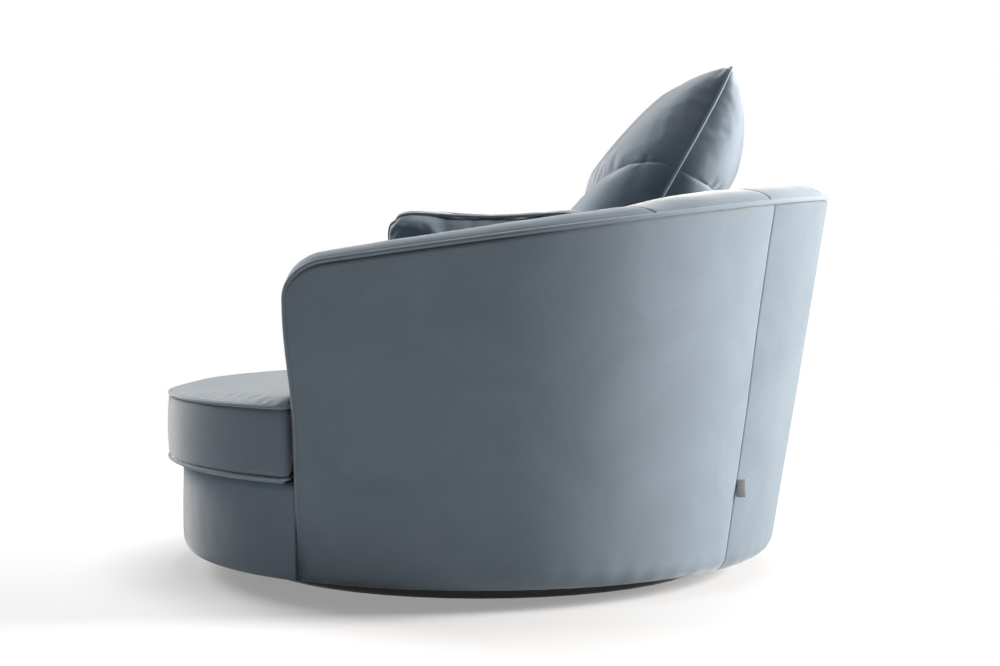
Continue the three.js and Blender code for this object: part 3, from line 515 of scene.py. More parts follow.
# %% [markdown]
# ## Outside covers
# Two arm covers and a back cover are pulled tight over thin wadding, turned under the foot of the wall and
# stapled there. They could be one band, but the real chair has a seam at each back corner, and a seam shows
# because each cover curls in beside it and leaves a dark line. So each cover is a net of its own whose last
# three millimetres roll inwards. The two seams aren't quite upright: they lie further back at their foot. The
# pull of the staples leaves shallow scallops just above the foot.

# %% Outside covers
COVER_THICK = 0.003
COVER_INSET = PIPING_RADIUS - PIPING_RISE + 0.0005
FOOT_TUCK, FOOT_ROUND = 0.020, 0.028
SEAM_ROUND = 0.0032
SEAM_GAP = 0.0005
SEAM_SKEW = 0.015
SCALLOP_SPACING, SCALLOP_DEPTH, SCALLOP_REACH, SCALLOP_HEIGHT = 0.048, 0.0009, 0.030, 0.012
COVER_WAVE, COVER_WAVE_SIZE = 0.0005, 0.16


def rolled_in(distance, radius, depth):
    """How far a cover has curled in at a distance from its edge, as a quarter of an ellipse."""
    if distance >= radius:
        return 0.0
    return depth * (1 - math.sqrt(1 - (1 - distance / radius) ** 2))


def runs_between(start, end, spacing, seams):
    """Runs from start to end, with close ones beside each end that is a seam."""
    close = [SEAM_ROUND * share for share in (0, 0.06, 0.17, 0.33, 0.55, 0.8, 1.1, 1.8)]
    low = start + (close[-1] if seams[0] else 0)
    high = end - (close[-1] if seams[1] else 0)
    runs = evenly(low, high, max(2, round((high - low) / spacing)))
    before = [start + c for c in close[:-1]] if seams[0] else []
    after = [end - c for c in reversed(close[:-1])] if seams[1] else []
    return before + runs + after


def skewed(run, z):
    """The seams at the back lie further back at their foot. This is the run that a point has for that."""
    from_seam = abs(min(run, WALL_LENGTH - run) - back_from)
    share = SEAM_SKEW * max(0.0, 1 - z / RIM_HEIGHT) * max(0.0, 1 - from_seam / 0.30) ** 2
    return run + (share if run < WALL_LENGTH / 2 else -share)


def outside_cover(columns, seams):
    """A cover under an edge. Each column is (run, height of its top)."""
    first, last = columns[0][0], columns[-1][0]
    foot_rows, rows = 12, 84

    def place(i, j):
        run, top = columns[i]
        if j <= foot_rows:
            rise = FOOT_ROUND * (j / foot_rows) ** 1.4
        else:
            rise = FOOT_ROUND + (top - BODY_BOTTOM - FOOT_ROUND) * (j - foot_rows) / (rows - foot_rows)
        depth = rolled_in(rise, FOOT_ROUND, FOOT_TUCK)
        if seams[0]:
            depth += rolled_in(run - first, SEAM_ROUND, SEAM_ROUND)
        if seams[1]:
            depth += rolled_in(last - run, SEAM_ROUND, SEAM_ROUND)
        scallop = math.cos(2 * math.pi * run / SCALLOP_SPACING + 2 * ripple(run, 0, 3, 0.2))
        depth += SCALLOP_DEPTH * (scallop + 1) / 2 * math.exp(-((rise - SCALLOP_HEIGHT) / SCALLOP_REACH) ** 2)
        depth += COVER_WAVE * ripple(run, rise, 7, COVER_WAVE_SIZE) * min(1, rise / 0.05)
        return rolled(skewed(run, BODY_BOTTOM + rise), depth, BODY_BOTTOM + rise)

    return net(len(columns) - 1, rows, place)


def columns_of(stations):
    return [(run - out * COVER_INSET, z - up * COVER_INSET) for run, z, out, up in stations]


def thickened(piece, thickness):
    """Gives a cover its thickness, behind the face that shows."""
    wall = piece.modifiers.new("thickness", "SOLIDIFY")
    wall.thickness, wall.offset = thickness, -1
    return piece


def one_side_area(bm):
    return sum(face.calc_area() for face in bm.faces)


back_from, back_to = BACK_SEAM * WALL_LENGTH, (1 - BACK_SEAM) * WALL_LENGTH
arm_columns = columns_of(corner_stations(0.004)) + [
    (run, rim_at(run) - COVER_INSET)
    for run in runs_between(CORNER_REACH, back_from - SEAM_GAP, 0.009, (False, True))[1:]]
back_columns = [(run, rim_at(run) - COVER_INSET)
                for run in runs_between(back_from + SEAM_GAP, back_to - SEAM_GAP, 0.009, (True, True))]

for side in ("left", "right"):
    bm = outside_cover(arm_columns, (False, True))
    if side == "right":
        flipped(bm)
    area = one_side_area(bm)
    cover = thickened(finished(bm, f"cover_outside_arm_{side}", wall_velvet, "chair", "velvet",
                               [f"outside_arm_{side}"]), COVER_THICK)
    print(cover.name, "flat area", round(area, 3), "m2")

bm = outside_cover(back_columns, (True, True))
area = one_side_area(bm)
# The back cover wears the darker copy of the velvet, which is painted shade.
cover = thickened(finished(bm, "cover_outside_back", rear_cover_painted_shade_velvet, "chair", "velvet", ["outside_back"]),
                  COVER_THICK)
print(cover.name, "flat area", round(area, 3), "m2")

# %% [markdown]
# ## Capping
# A band of wadded velvet crowns the rim and runs down each arm front, sewn in five lengths between two
# pipings. Its section is a cushion-like arch, steep beside the cord and nearly flat on top. The band is
# fuller over the back corners. At a seam it is drawn down, and small tucks fan out from the cords. Toward
# the corner seams the real band also has a long shallow fold beside its outer cord.

# %% Capping
CAPPING_EDGE = PIPING_RADIUS + 0.001
CAPPING_FLOOR = 0.0003
CROWN_FRONT, CROWN_ARM, CROWN_CORNER = 0.0095, 0.019, 0.027
CROWN_CLIMB = 0.11
FOLD_DEPTH, FOLD_WIDTH, FOLD_PLACE = 0.0007, 0.003, 0.0135
WAVE_DEPTH, WAVE_SIZE = 0.0009, 0.07
TUCK_DEPTH, TUCK_SIZE, TUCK_REACH = 0.0006, 0.011, 0.014
ARCH_POWER = 0.42


def drawn_down(distance):
    """Share of its height that the band keeps at a distance from a seam."""
    return 1 - 0.09 * math.exp(-distance / 0.012) - 0.40 * max(0.0, 1 - distance / 0.0018) ** 2


def capping_length(stations, crowns, seams, folded=False):
    """One sewn length of the band. Its crown goes from crowns[0] to crowns[1] over its first CROWN_CLIMB."""
    steps = 40
    inner_width = WALL - 2 * CAPPING_EDGE
    along = [0.0]
    for a, b in zip(stations, stations[1:]):
        along.append(along[-1] + (on_edge(b, 0, 0) - on_edge(a, 0, 0)).length)

    def place(i, j):
        station = stations[i]
        climbed = min(1.0, along[i] / CROWN_CLIMB)
        full_crown = crowns[0] + (crowns[1] - crowns[0]) * climbed * climbed * (3 - 2 * climbed)
        rise = CROWN_FRONT + (full_crown - CROWN_FRONT) * station[3]
        if seams[0]:
            rise *= drawn_down(along[i])
        if seams[1]:
            rise *= drawn_down(along[-1] - along[i])
        if j > steps:
            share = 1 - (j - steps) / 4
            return on_edge(station, CAPPING_EDGE + inner_width * share, CAPPING_FLOOR)
        share = (1 - math.cos(math.pi * j / steps)) / 2
        arch = math.sin(math.pi * share) ** ARCH_POWER if 0 < share < 1 else 0.0
        depth = CAPPING_EDGE + inner_width * share
        from_cord = inner_width * min(share, 1 - share)
        height = CAPPING_FLOOR + rise * arch
        height += arch * WAVE_DEPTH * ripple(along[i], depth, 1 + crowns[1] * 90, WAVE_SIZE)
        height += arch * TUCK_DEPTH * math.exp(-from_cord / TUCK_REACH) * ripple(along[i], 0, 5, TUCK_SIZE)
        if folded:
            fade = math.exp(-((along[-1] - along[i] - 0.05) / 0.09) ** 2)
            height -= fade * FOLD_DEPTH * math.exp(-((depth - FOLD_PLACE - CAPPING_EDGE) / FOLD_WIDTH) ** 2)
        return on_edge(station, depth, height)

    return net(len(stations) - 1, steps + 4, place, closed=True)


corner_from = CORNER_SEAM * WALL_LENGTH


def rim_run(start, end, seams):
    return [(run, rim_at(run), 0.0, 1.0) for run in runs_between(start, end, 0.006, seams)]


arm_band = front_stations(SEAT_BASE, 0.008)[:-1] + corner_stations(0.005) + rim_run(
    CORNER_REACH, corner_from - SEAM_GAP, (False, True))[1:]
corner_band = rim_run(corner_from + SEAM_GAP, back_from - SEAM_GAP, (True, True))
back_band = rim_run(back_from + SEAM_GAP, back_to - SEAM_GAP, (True, True))

# The arm lengths take the darker capping velvet (painted shade), and the corner and back lengths the lighter
# one (painted light).
for side in ("left", "right"):
    for name, band, crowns, seams, pile in (
            ("arm", arm_band, (CROWN_ARM, CROWN_ARM), (False, True), arm_capping_painted_shade_velvet),
            ("corner", corner_band, (CROWN_ARM, CROWN_CORNER), (True, True), rear_capping_painted_light_velvet)):
        bm = capping_length(band, crowns, seams, folded=name == "arm")
        if side == "right":
            flipped(bm)
        length = finished(bm, f"capping_band_{name}_{side}", pile, "chair", "velvet",
                          [f"capping_{name}_{side}"])
bm = capping_length(back_band, (CROWN_CORNER, CROWN_CORNER), (True, True))
length = finished(bm, "capping_band_back", rear_capping_painted_light_velvet, "chair", "velvet", ["capping_back"])
print("capping lengths:", 5)

# %% [markdown]
# ## Piping
# Piping is a cord in a bias-cut strip of the same velvet. A curve with a round bevel would do, but a net
# rolled up along the same stations follows the tilted edge exactly, and stays a closed mesh.

# %% Piping of the rim
def rim_cord(depth, low):
    rise = front_stations(low, 0.008)[:-1]
    middle = rim_run(CORNER_REACH, WALL_LENGTH - CORNER_REACH, (False, False))[1:-1]
    corner = corner_stations(0.004)
    stations = rise + corner + middle + other_side(corner) + other_side(rise)
    sides = 12

    def place(i, j):
        angle = 2 * math.pi * j / sides
        radius = PIPING_RADIUS * (1 + 0.03 * ripple(0.01 * i, depth, 2, 0.05))
        return on_edge(stations[i], depth + radius * math.cos(angle), PIPING_RISE + radius * math.sin(angle))

    return net(len(stations) - 1, sides, place, closed=True)


# The rim's cords wear the lighter cord velvet, which is a painted highlight.
outer_cord = finished(rim_cord(0.0005, BODY_BOTTOM + PIPING_RADIUS), "cord_rim_outer", cord_painted_highlight_velvet, "chair",
                      "piping", ["rim_piping_outer"])
inner_cord = finished(rim_cord(WALL - 0.0005, SEAT_BASE + 0.0005), "cord_rim_inner", cord_painted_highlight_velvet, "chair",
                      "piping", ["rim_piping_inner"])
print("cords:", outer_cord.name, inner_cord.name)

# %% [markdown]
# ## Padded border of the drum
# Between the arm fronts the drum has a border of velvet over foam, tucked under the body at its foot and
# turned over the deck at its top. A spin of its section would do for a full ring, but the border ends
# square at the cords of the arms' flat fronts, so its section is swept through runs that end in that plane.

# %% Border
BORDER_INNER, BORDER_OUTER = 0.5455, 0.566
BORDER_TOP, BORDER_LIP, BORDER_UNDER = 0.1996, 0.505, 0.1883
BORDER_FOOT, BORDER_SHOULDER = 0.028, 0.0165
SWELL = BORDER_OUTER - BORDER_INNER


def border_section():
    """Section from the foot up the front, over the shoulder and back under the lip, as (radius, height)."""
    full = SWELL * 0.955
    foot = [(BORDER_INNER + full * math.sin(a), BODY_BOTTOM + BORDER_FOOT * (1 - math.cos(a)))
            for a in evenly(0, math.pi / 2, 8)]
    low, high = BODY_BOTTOM + BORDER_FOOT, BORDER_TOP - BORDER_SHOULDER
    face = [(BORDER_INNER + full + SWELL * 0.045 * math.sin(math.pi * share), low + (high - low) * share)
            for share in evenly(0, 1, 22)[1:]]
    shoulder = [(BORDER_INNER + full * (0.2 + 0.8 * math.cos(a)), high + BORDER_SHOULDER * math.sin(a))
                for a in evenly(0, math.pi / 2, 8)[1:]]
    lip = [(BORDER_LIP, BORDER_TOP), (BORDER_LIP, BORDER_UNDER), (BORDER_INNER, BORDER_UNDER),
           (BORDER_INNER, BODY_BOTTOM)]
    return foot + face + shoulder + lip


section = border_section()
border_steps = 180


def border_point(i, j):
    radius, z = section[j]
    share = i / border_steps
    if 8 < j < 32:
        radius += 0.0006 * ripple(share * 1.3, z, 4, 0.05)
    start = math.asin((-ARM_FRONT - PIPING_RISE - PIPING_RADIUS * 0.6) / radius)
    angle = start - share * (math.pi + 2 * start)
    return Vector((radius * math.cos(angle), radius * math.sin(angle), z))


border = finished(net(border_steps, len(section) - 1, border_point, closed=True), "drum_border", wall_velvet,
                  "chair", "velvet", ["front_border"])
print("border section points:", len(section))

# %% [markdown]
# ## Inside pads
# The inside of the tub is lined with foam pads under velvet, again in three lengths with a seam at each
# back corner. Each pad is a closed net: up its hidden back, over its top edge under the cord, and down
# the face that the sitter leans on, which swells a little.

# %% Pads
PAD_SWELL = 0.0035
PAD_WAVE, PAD_WAVE_SIZE = 0.0008, 0.11
PAD_EDGE, PAD_SEAM = (0.008, 0.006), (0.006, 0.005)


def inside_pad(columns, seams):
    """A pad under an edge. Each column is (run, height of its top)."""
    first, last = columns[0][0], columns[-1][0]
    face_rows = 40

    def place(i, j):
        run, top = columns[i]
        if j == 0:
            return rolled(run, WALL - PAD, SEAT_BASE)
        if j == 1:
            return rolled(run, WALL - PAD, top)
        if j == 2 + face_rows:
            return rolled(run, WALL - PAD, SEAT_BASE)
        share = (j - 1) / face_rows
        z = top + (SEAT_BASE - top) * share ** 1.5
        depth = WALL - rolled_in(top - z, *PAD_EDGE)
        depth += PAD_SWELL * math.sin(math.pi * min(1, share ** 0.9)) ** 0.7 if share < 1 else 0
        depth += PAD_WAVE * ripple(run, z, 9, PAD_WAVE_SIZE)
        if seams[0]:
            depth -= rolled_in(run - first, *PAD_SEAM)
        if seams[1]:
            depth -= rolled_in(last - run, *PAD_SEAM)
        return rolled(run, depth, z)

    return net(len(columns) - 1, 2 + face_rows, place, closed=True)


for side in ("left", "right"):
    bm = inside_pad(arm_columns, (False, True))
    if side == "right":
        flipped(bm)
    pad = finished(bm, f"pad_inside_arm_{side}", wall_velvet, "chair", "velvet", [f"inside_arm_{side}"])
pad = finished(inside_pad(back_columns, (True, True)), "pad_inside_back", wall_velvet, "chair", "velvet",
               ["inside_back"])
print("pads: 3")

# %% [markdown]
# ## Deck felt, deck cloth and dust cover
# Felt lies on the springs, and a tight cloth over it keeps it there. Under the seat frame a thin black dust
# cover closes the chair round its turntable. All three are cut as rounds, so each is a ring of faces about
# the middle that keeps to its solid's own radius and thickness. The felt and the deck cloth have the ripples
# that such cloth has between its staples.

# %% Flat cloths
def round_cloth(solid, inner, ripple_height, spokes=96, rings=14):
    """A round of cloth in the middle of the space of a solid, for its outside radius and its height."""
    low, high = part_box(solid)
    radius, middle = high.x, (low.z + high.z) / 2

    def place(i, j):
        reach = inner + (radius - inner) * j / rings
        angle = 2 * math.pi * i / spokes
        x, y = reach * math.cos(angle), reach * math.sin(angle)
        free = math.sin(math.pi * j / rings) ** 0.5 if 0 < j < rings else 0.0
        return Vector((x, y, middle + ripple_height * free * ripple(x, y, 2, 0.08)))

    bm = net(spokes, rings, place)
    bmesh.ops.remove_doubles(bm, verts=bm.verts, dist=1e-6)
    if sum(face.normal.z for face in bm.faces) < 0:
        bmesh.ops.reverse_faces(bm, faces=bm.faces)
    return bm, high.z - low.z, radius


for name, material, kept_slot, inner, ripple_height, held, below in (
        ("deck_felt", felt, "felt", 0.0, 0.0002, "laid", [f"seat_spring_{i}" for i in range(1, 6)]),
        ("deck_cloth", lining, "lining_cloth", 0.0, 0.0002, "stretched", ["deck_felt_round"]),
        ("dust_cover", lining, "lining_cloth", 0.1683, 0.0, "stretched", ["bottom_board"])):
    bm, thickness, radius = round_cloth(name, inner, ripple_height)
    area = one_side_area(bm)
    cloth = finished(bm, f"{name}_round", material, "chair", kept_slot, [name])
    solid = cloth.modifiers.new("thickness", "SOLIDIFY")
    solid.thickness, solid.offset = thickness * 0.8, 0
    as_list(below)
    print(cloth.name, "radius", round(radius, 3), "m, area", round(area, 3), "m2")

# %% [markdown]
# ## Seam tag
# A short ribbon is folded in half and sewn into the back seam. It is bare. A flat plate would stand stiffly
# off the wall, so the ribbon is a strip that goes out, round its fold and back, and curls a little.

# %% Seam tag
TAG_CENTRE, TAG_HEIGHT, TAG_REACH, TAG_TURN = 0.178, 0.030, 0.0155, math.radians(38)
TAG_HALF_GAP, TAG_CURL, TAG_THICK, TAG_ROWS = 0.0009, 0.0012, 0.0005, 16
tag_root = rolled(skewed(back_from, TAG_CENTRE), -(0.003 + FLARE * TAG_HEIGHT) / 2 - 0.0003, TAG_CENTRE)
tag_angle = math.atan2(tag_root.y, tag_root.x) + math.pi / 2 - TAG_TURN
tag_out = Vector((math.cos(tag_angle), math.sin(tag_angle), 0))
tag_aside = Vector((-tag_out.y, tag_out.x, 0))
tag_path = [(TAG_REACH * s, TAG_HALF_GAP) for s in evenly(0, 1, 12)]
tag_path += [(TAG_REACH + TAG_HALF_GAP * math.sin(a), TAG_HALF_GAP * math.cos(a))
             for a in evenly(0, math.pi, 8)[1:-1]]
tag_path += [(TAG_REACH * s, -TAG_HALF_GAP) for s in evenly(1, 0, 12)]


def tag_point(i, j):
    reach, aside = tag_path[i]
    rise = TAG_HEIGHT * (j / TAG_ROWS - 0.5)
    curl = TAG_CURL * (reach / TAG_REACH) ** 2 * (1 + 0.5 * math.sin(math.pi * (j / TAG_ROWS - 0.2)))
    return tag_root + tag_out * reach + tag_aside * (aside + curl) + Vector((0, 0, rise))


bm = net(len(tag_path) - 1, TAG_ROWS, tag_point)
area = one_side_area(bm)
tag = thickened(finished(bm, "seam_tag_ribbon", ribbon, "chair", "woven_tag", ["seam_tag"]), TAG_THICK)
print("tag ribbon length", round(area / TAG_HEIGHT * 1000, 1), "mm")

# %% [markdown]
# ## Blowing up a cushion
# A real cushion gets its look from cloth that is sewn flat, is a little too large along its seams, and is
# pushed out by its filling. Cloth simulation does the same: the seams are pinned, the cloth is given some
# slack, and air pressure stands in for the filling. Gravity is off, because the filling carries the cloth.
# A cushion over a foam slab, such as the seat, is tight, so it gets little slack and a small cap.
# The result is written into the mesh, and no point may move further than a cap, so that the cushion stays
# in the space of its solid. The net already has even faces, so it needs no remeshing first.

# %% Puffing
def puffed(piece, pins, slack, pressure, cap, frames=20):
    """Simulates the cushion's cover with some points pinned, then writes the shape into its mesh."""
    mesh = piece.data
    before = [v.co.copy() for v in mesh.vertices]
    sewn = piece.vertex_groups.new(name="sewn")
    sewn.add(pins, 1.0, "REPLACE")
    cloth = piece.modifiers.new("puff", "CLOTH")
    cover = cloth.settings
    cover.quality = 6
    cover.mass = 0.25
    cover.tension_stiffness = cover.compression_stiffness = 18
    cover.shear_stiffness = 6
    cover.bending_stiffness = 0.6
    cover.air_damping = 4
    cover.use_pressure = True
    cover.uniform_pressure_force = pressure
    cover.shrink_min = cover.shrink_max = -slack
    cover.vertex_group_mass = "sewn"
    cover.effector_weights.gravity = 0
    cloth.collision_settings.use_collision = False
    cloth.point_cache.frame_start, cloth.point_cache.frame_end = 1, frames
    for frame_number in range(1, frames + 1):
        scene.frame_set(frame_number)
    seen = piece.evaluated_get(bpy.context.evaluated_depsgraph_get())
    after = [v.co.copy() for v in seen.data.vertices]
    piece.modifiers.remove(cloth)
    piece.vertex_groups.remove(sewn)
    furthest = 0.0
    for v, start, end in zip(mesh.vertices, before, after):
        move = end - start
        furthest = max(furthest, move.length)
        if move.length > cap:
            move *= cap / move.length
        v.co = start + move
    scene.frame_set(1)
    print(piece.name, "moved up to", round(furthest * 1000, 1), "mm")

# %% [markdown]
# ## Seat cushion: its plan
# The seat is a boxed cushion: a top and a bottom panel, and a border between them with piping at both its
# edges. Its plan is a large round front whose two ears wrap round the arm fronts, and a smaller round back
# inside the tub. Half of the outline is written as arcs and mirrored. Every point carries the turn at which
# its strip of cover meets the round middle of the cushion, so the net has no pinched faces.

# %% Plan of the seat
SEAT_FRONT, SEAT_BACK = 0.593, 0.430
SEAT_BORDER = 0.128
SEAT_CROWN, CROWN_REACH = 0.015, 0.058
EAR_GAP, EAR_RADIUS, NOTCH_RADIUS = 0.003, 0.016, 0.008
SEAT_CORD = 0.003
LOWER_CORD = SEAT_BASE + 0.0078
SEAT_TOP = SEAT_BASE + SEAT_BORDER
CORE, CORE_Y = SEAT_BACK * 0.55, -SEAT_BACK * 0.3


def arc(centre, radius, start, end, steps):
    return [Vector((centre[0] + radius * math.cos(a), centre[1] + radius * math.sin(a)))
            for a in evenly(start, end, steps)]


def half_plan():
    """Right half of the outline, from the middle of the front to the middle of the back. Each point has the
    turn at which its strip of cover meets the middle. The ears share out a small part of the whole turn."""
    ear_line = -ARM_FRONT - CROWN_FRONT - EAR_GAP
    ear_y = ear_line - EAR_RADIUS
    ear_x = math.sqrt((SEAT_FRONT - EAR_RADIUS) ** 2 - ear_y ** 2)
    ear_angle = math.atan2(ear_y, ear_x)
    notch_y = ear_line + NOTCH_RADIUS
    notch_x = math.sqrt((SEAT_BACK + NOTCH_RADIUS) ** 2 - notch_y ** 2)
    notch_angle = math.atan2(notch_y, notch_x)
    front = arc((0, 0), SEAT_FRONT, -math.pi / 2, ear_angle, 60)
    ear = arc((ear_x, ear_y), EAR_RADIUS, ear_angle, math.pi / 2, 20)[1:]
    edge = [Vector((ear_x + (notch_x - ear_x) * s, ear_line)) for s in evenly(0, 1, 14)[1:-1]]
    notch = arc((notch_x, notch_y), NOTCH_RADIUS, -math.pi / 2, notch_angle - math.pi, 8)
    back = arc((0, 0), SEAT_BACK, notch_angle, math.pi / 2, 70)[1:]
    points = []
    for strip, start, end in ((front, -90, -52), (ear + edge + notch, -48, -24), (back, -18, 90)):
        for k, point in enumerate(strip):
            points.append((point, math.radians(start + (end - start) * k / (len(strip) - 1))))
    return points


def respaced(points, count):
    """The same outline with points at even distances."""
    along = [0.0]
    for (a, _), (b, _) in zip(points, points[1:]):
        along.append(along[-1] + (b - a).length)
    even, k = [], 0
    for target in evenly(0, along[-1], count):
        while k < len(points) - 2 and along[k + 1] < target:
            k += 1
        share = min(1.0, (target - along[k]) / (along[k + 1] - along[k]))
        (a, turn_a), (b, turn_b) = points[k], points[k + 1]
        even.append((a.lerp(b, share), turn_a + (turn_b - turn_a) * share))
    return even


def whole_plan(half_count):
    """The closed outline: its points, their turns, and the way inwards at each."""
    half = respaced(half_plan(), half_count)
    other = [(Vector((-p.x, p.y)), math.pi - turn) for p, turn in reversed(half[1:-1])]
    closed = half + other
    plan = []
    for k, (point, turn) in enumerate(closed):
        along = (closed[(k + 1) % len(closed)][0] - closed[k - 1][0]).normalized()
        plan.append((point, turn, Vector((-along.y, along.x))))
    return plan


def calmed(ways, reach):
    """Each way averaged with its neighbours up to reach points off, so that strips side by side never cross."""
    count = len(ways)
    return [sum((ways[(k + d) % count] for d in range(-reach, reach + 1)), Vector((0, 0))).normalized()
            for k in range(count)]


plan = whole_plan(200)
strip_ways = calmed([way for _, _, way in plan], 26)
print("plan points:", len(plan))

# %% [markdown]
# ## Seat cushion: its cover
# Rows of the net run from the middle of the bottom panel, out to the lower cord, up the border, over the
# upper cord and in across the crown. Beside a cord the cover dives in behind it, as sewn cloth does. The
# crown rises fast near the edge and levels out, because the filling is a foam slab wrapped in fibre.

# %% Seat cover
SEAT_BULGE = 0.003


def crown_rise(reach):
    return SEAT_CROWN * (1 - math.exp(-reach / CROWN_REACH))


def inward(k, reach, z):
    point, _, way = plan[k % len(plan)]
    return Vector((point.x + way.x * reach, point.y + way.y * reach, z))


def crown_point(k, share):
    point, turn, way = plan[k % len(plan)]
    start = point + way * (2 * SEAT_CORD)
    via = start + strip_ways[k % len(plan)] * (SEAT_BACK * 0.15)
    end = Vector((CORE * math.cos(turn), CORE_Y + CORE * math.sin(turn)))
    place = start * (1 - share) ** 2 + via * (2 * share * (1 - share)) + end * share ** 2
    return Vector((place.x, place.y, SEAT_TOP + crown_rise(share * (end - start).length)))


BOTTOM_ROWS, BORDER_ROWS, CROWN_ROWS, CORE_ROWS = 6, 18, 30, 10


def seat_point(k, row):
    point, turn, way = plan[k % len(plan)]
    middle = Vector((CORE * math.cos(turn), CORE_Y + CORE * math.sin(turn)))
    if row <= BOTTOM_ROWS:
        share = row / BOTTOM_ROWS
        if share <= 0.5:
            place = Vector((0, CORE_Y)).lerp(middle, share * 2)
        else:
            place = middle.lerp(point + way * 0.012, share * 2 - 1)
        return Vector((place.x, place.y, SEAT_BASE))
    row -= BOTTOM_ROWS
    if row <= BORDER_ROWS:
        share = (row - 1) / (BORDER_ROWS - 1)
        edge = min(share, 1 - share) * (SEAT_BORDER - 2 * SEAT_CORD)
        dive = 0.0045 * math.exp(-edge / 0.004)
        reach = SEAT_CORD - SEAT_BULGE * math.sin(math.pi * share) ** 0.8 + dive
        return inward(k, reach, LOWER_CORD + (SEAT_TOP - SEAT_CORD - LOWER_CORD) * share)
    row -= BORDER_ROWS
    if row <= CROWN_ROWS:
        return crown_point(k, ((row - 1) / (CROWN_ROWS - 1)) ** 1.35)
    share = (row - CROWN_ROWS) / CORE_ROWS
    reach = (crown_point(k, 0) - crown_point(k, 1)).length
    height = crown_rise(reach) + (crown_rise(SEAT_BACK) - crown_rise(reach)) * min(1, share * 3)
    return Vector((*middle.lerp(Vector((0, CORE_Y)), share), SEAT_TOP + height))


seat_rows = BOTTOM_ROWS + BORDER_ROWS + CROWN_ROWS + CORE_ROWS
bm = net(len(plan), seat_rows, seat_point, closed=True)
seat = finished(bm, "seat_cushion_cover", cushion_velvet, "seat_cushion", "cushion_velvet", ["seat_cushion"])


def held_on_seat(point):
    """The bottom, the tight border and the level middle of the crown stay where they are."""
    return point.z < SEAT_TOP + 0.0005 or math.hypot(point.x, point.y - CORE_Y) < CORE * 0.9


puffed(seat, [v.index for v in seat.data.vertices if held_on_seat(v.co)], slack=0.003, pressure=4, cap=0.0014)


def refined(piece, wanted):
    """Splits the faces between wanted points in four, and rounds them. It is a Subdivision Surface for a part
    of a mesh, and it leaves out the middle of a panel, where hundreds of edges meet in one point."""
    bm = bmesh.new()
    bm.from_mesh(piece.data)
    edges = [e for e in bm.edges if wanted(e.verts[0].co) and wanted(e.verts[1].co)]
    bmesh.ops.subdivide_edges(bm, edges=edges, cuts=1, use_grid_fill=True, smooth=1.0)
    bm.to_mesh(piece.data)
    bm.free()
    piece.data.shade_smooth()


refined(seat, lambda p: p.z > SEAT_BASE + SEAT_CORD and math.hypot(p.x, p.y - CORE_Y) > CORE)
print("seat cover faces:", len(seat.data.polygons))

# %% [markdown]
# ## Seat cushion: its piping
# Both cords follow the plan just inside its outline. Each is a closed ring of the cord velvet, drawn lighter
# as a painted highlight.

# %% Seat cords
def ring_cord(centres, radius, sides=12):
    """A closed cord through a ring of points that keeps its own round section."""
    count = len(centres)
    frames_round = []
    for k in range(count):
        along = (centres[(k + 1) % count] - centres[k - 1]).normalized()
        out = along.cross(Vector((0, 0, 1)))
        out = out.normalized() if out.length > 0.05 else Vector((1, 0, 0))
        frames_round.append((out, along.cross(out).normalized()))

    def place(i, j):
        k = i % count
        out, up = frames_round[k]
        angle = 2 * math.pi * j / sides
        return centres[k] + (out * math.cos(angle) + up * math.sin(angle)) * radius

    return net(count, sides, place, closed=True)


for name, z in (("lower", LOWER_CORD), ("upper", SEAT_TOP - SEAT_CORD)):
    cord = ring_cord([inward(k, SEAT_CORD, z) for k in range(len(plan))], SEAT_CORD)
    finished(cord, f"seat_cushion_cord_{name}", cushion_cord_painted_highlight_velvet, "seat_cushion", "piping")
print("seat cords: 2")

# %% [markdown]
# ## Loose cushions: one form
# The back cushion and the scatter cushions are knife-edge cushions: two panels sewn together round their
# edge with a cord between them. The sides are drawn in between the corners, because the filling takes up
# cloth there, and the filling has sunk, so each face swells most below its middle. One net wraps round both
# panels, is welded along the sewn edge, and is puffed like the seat. Rows of the net crowd beside a seam
# that runs across a panel, where the two halves of the panel dive towards their stitches.

# %% Knife-edge cushions
# Size, place and angles in metres and degrees. front and back say how far each panel swells, sag how far below
# the middle it does so most, across and up how it falls to the sides. bend curves the sewn edge, pull draws
# the sides in, blunt rounds the corners off, and seams place the seam across each panel.
BACK_CUSHION = {
    "size": (0.650, 0.624), "place": (0, 0.2885, 0.6302), "lean": 28.2, "yaw": 0, "front": 0.120,
    "back": 0.141, "sag": (0.30, 0.5), "across": (3.6, 0.45), "up": (2, 0.5), "bend": (0.006, 0.003),
    "pull": 0.030, "blunt": 0.024, "seams": ((0.01, 0.335), (0.36, -0.015)), "cord": 0.0028}
SCATTER = {
    "size": (0.370, 0.362), "front": 0.067, "back": 0.066, "sag": (0.15, 0.2), "across": (3, 0.44),
    "up": (3, 0.42), "bend": (0.006, 0.0), "pull": 0.12, "blunt": 0.165, "seams": None, "cord": 0.0028}
SCATTER_LEFT = {**SCATTER, "place": (0.400, 0.024, 0.4942), "lean": 27, "yaw": -94}
SCATTER_RIGHT = {**SCATTER, "place": (-0.424, 0.018, 0.5152), "lean": 9, "yaw": 94}
SEAM_CREASE, SEAM_DIP = (0.0035, 0.009), (0.004, 0.07)
CORD_SPACE = PIPING_RADIUS + 0.0015
ABOVE = 1.2


def eased(t):
    """Places from -1 to 1 that crowd towards both ends."""
    return 0.35 * math.sin(t * math.pi / 2) + 0.65 * t


def fall(share, shape):
    """Falls from 1 at share 0 to 0 at share 1 or -1."""
    return max(0.0, 1 - min(1.0, abs(share)) ** shape[0]) ** shape[1]


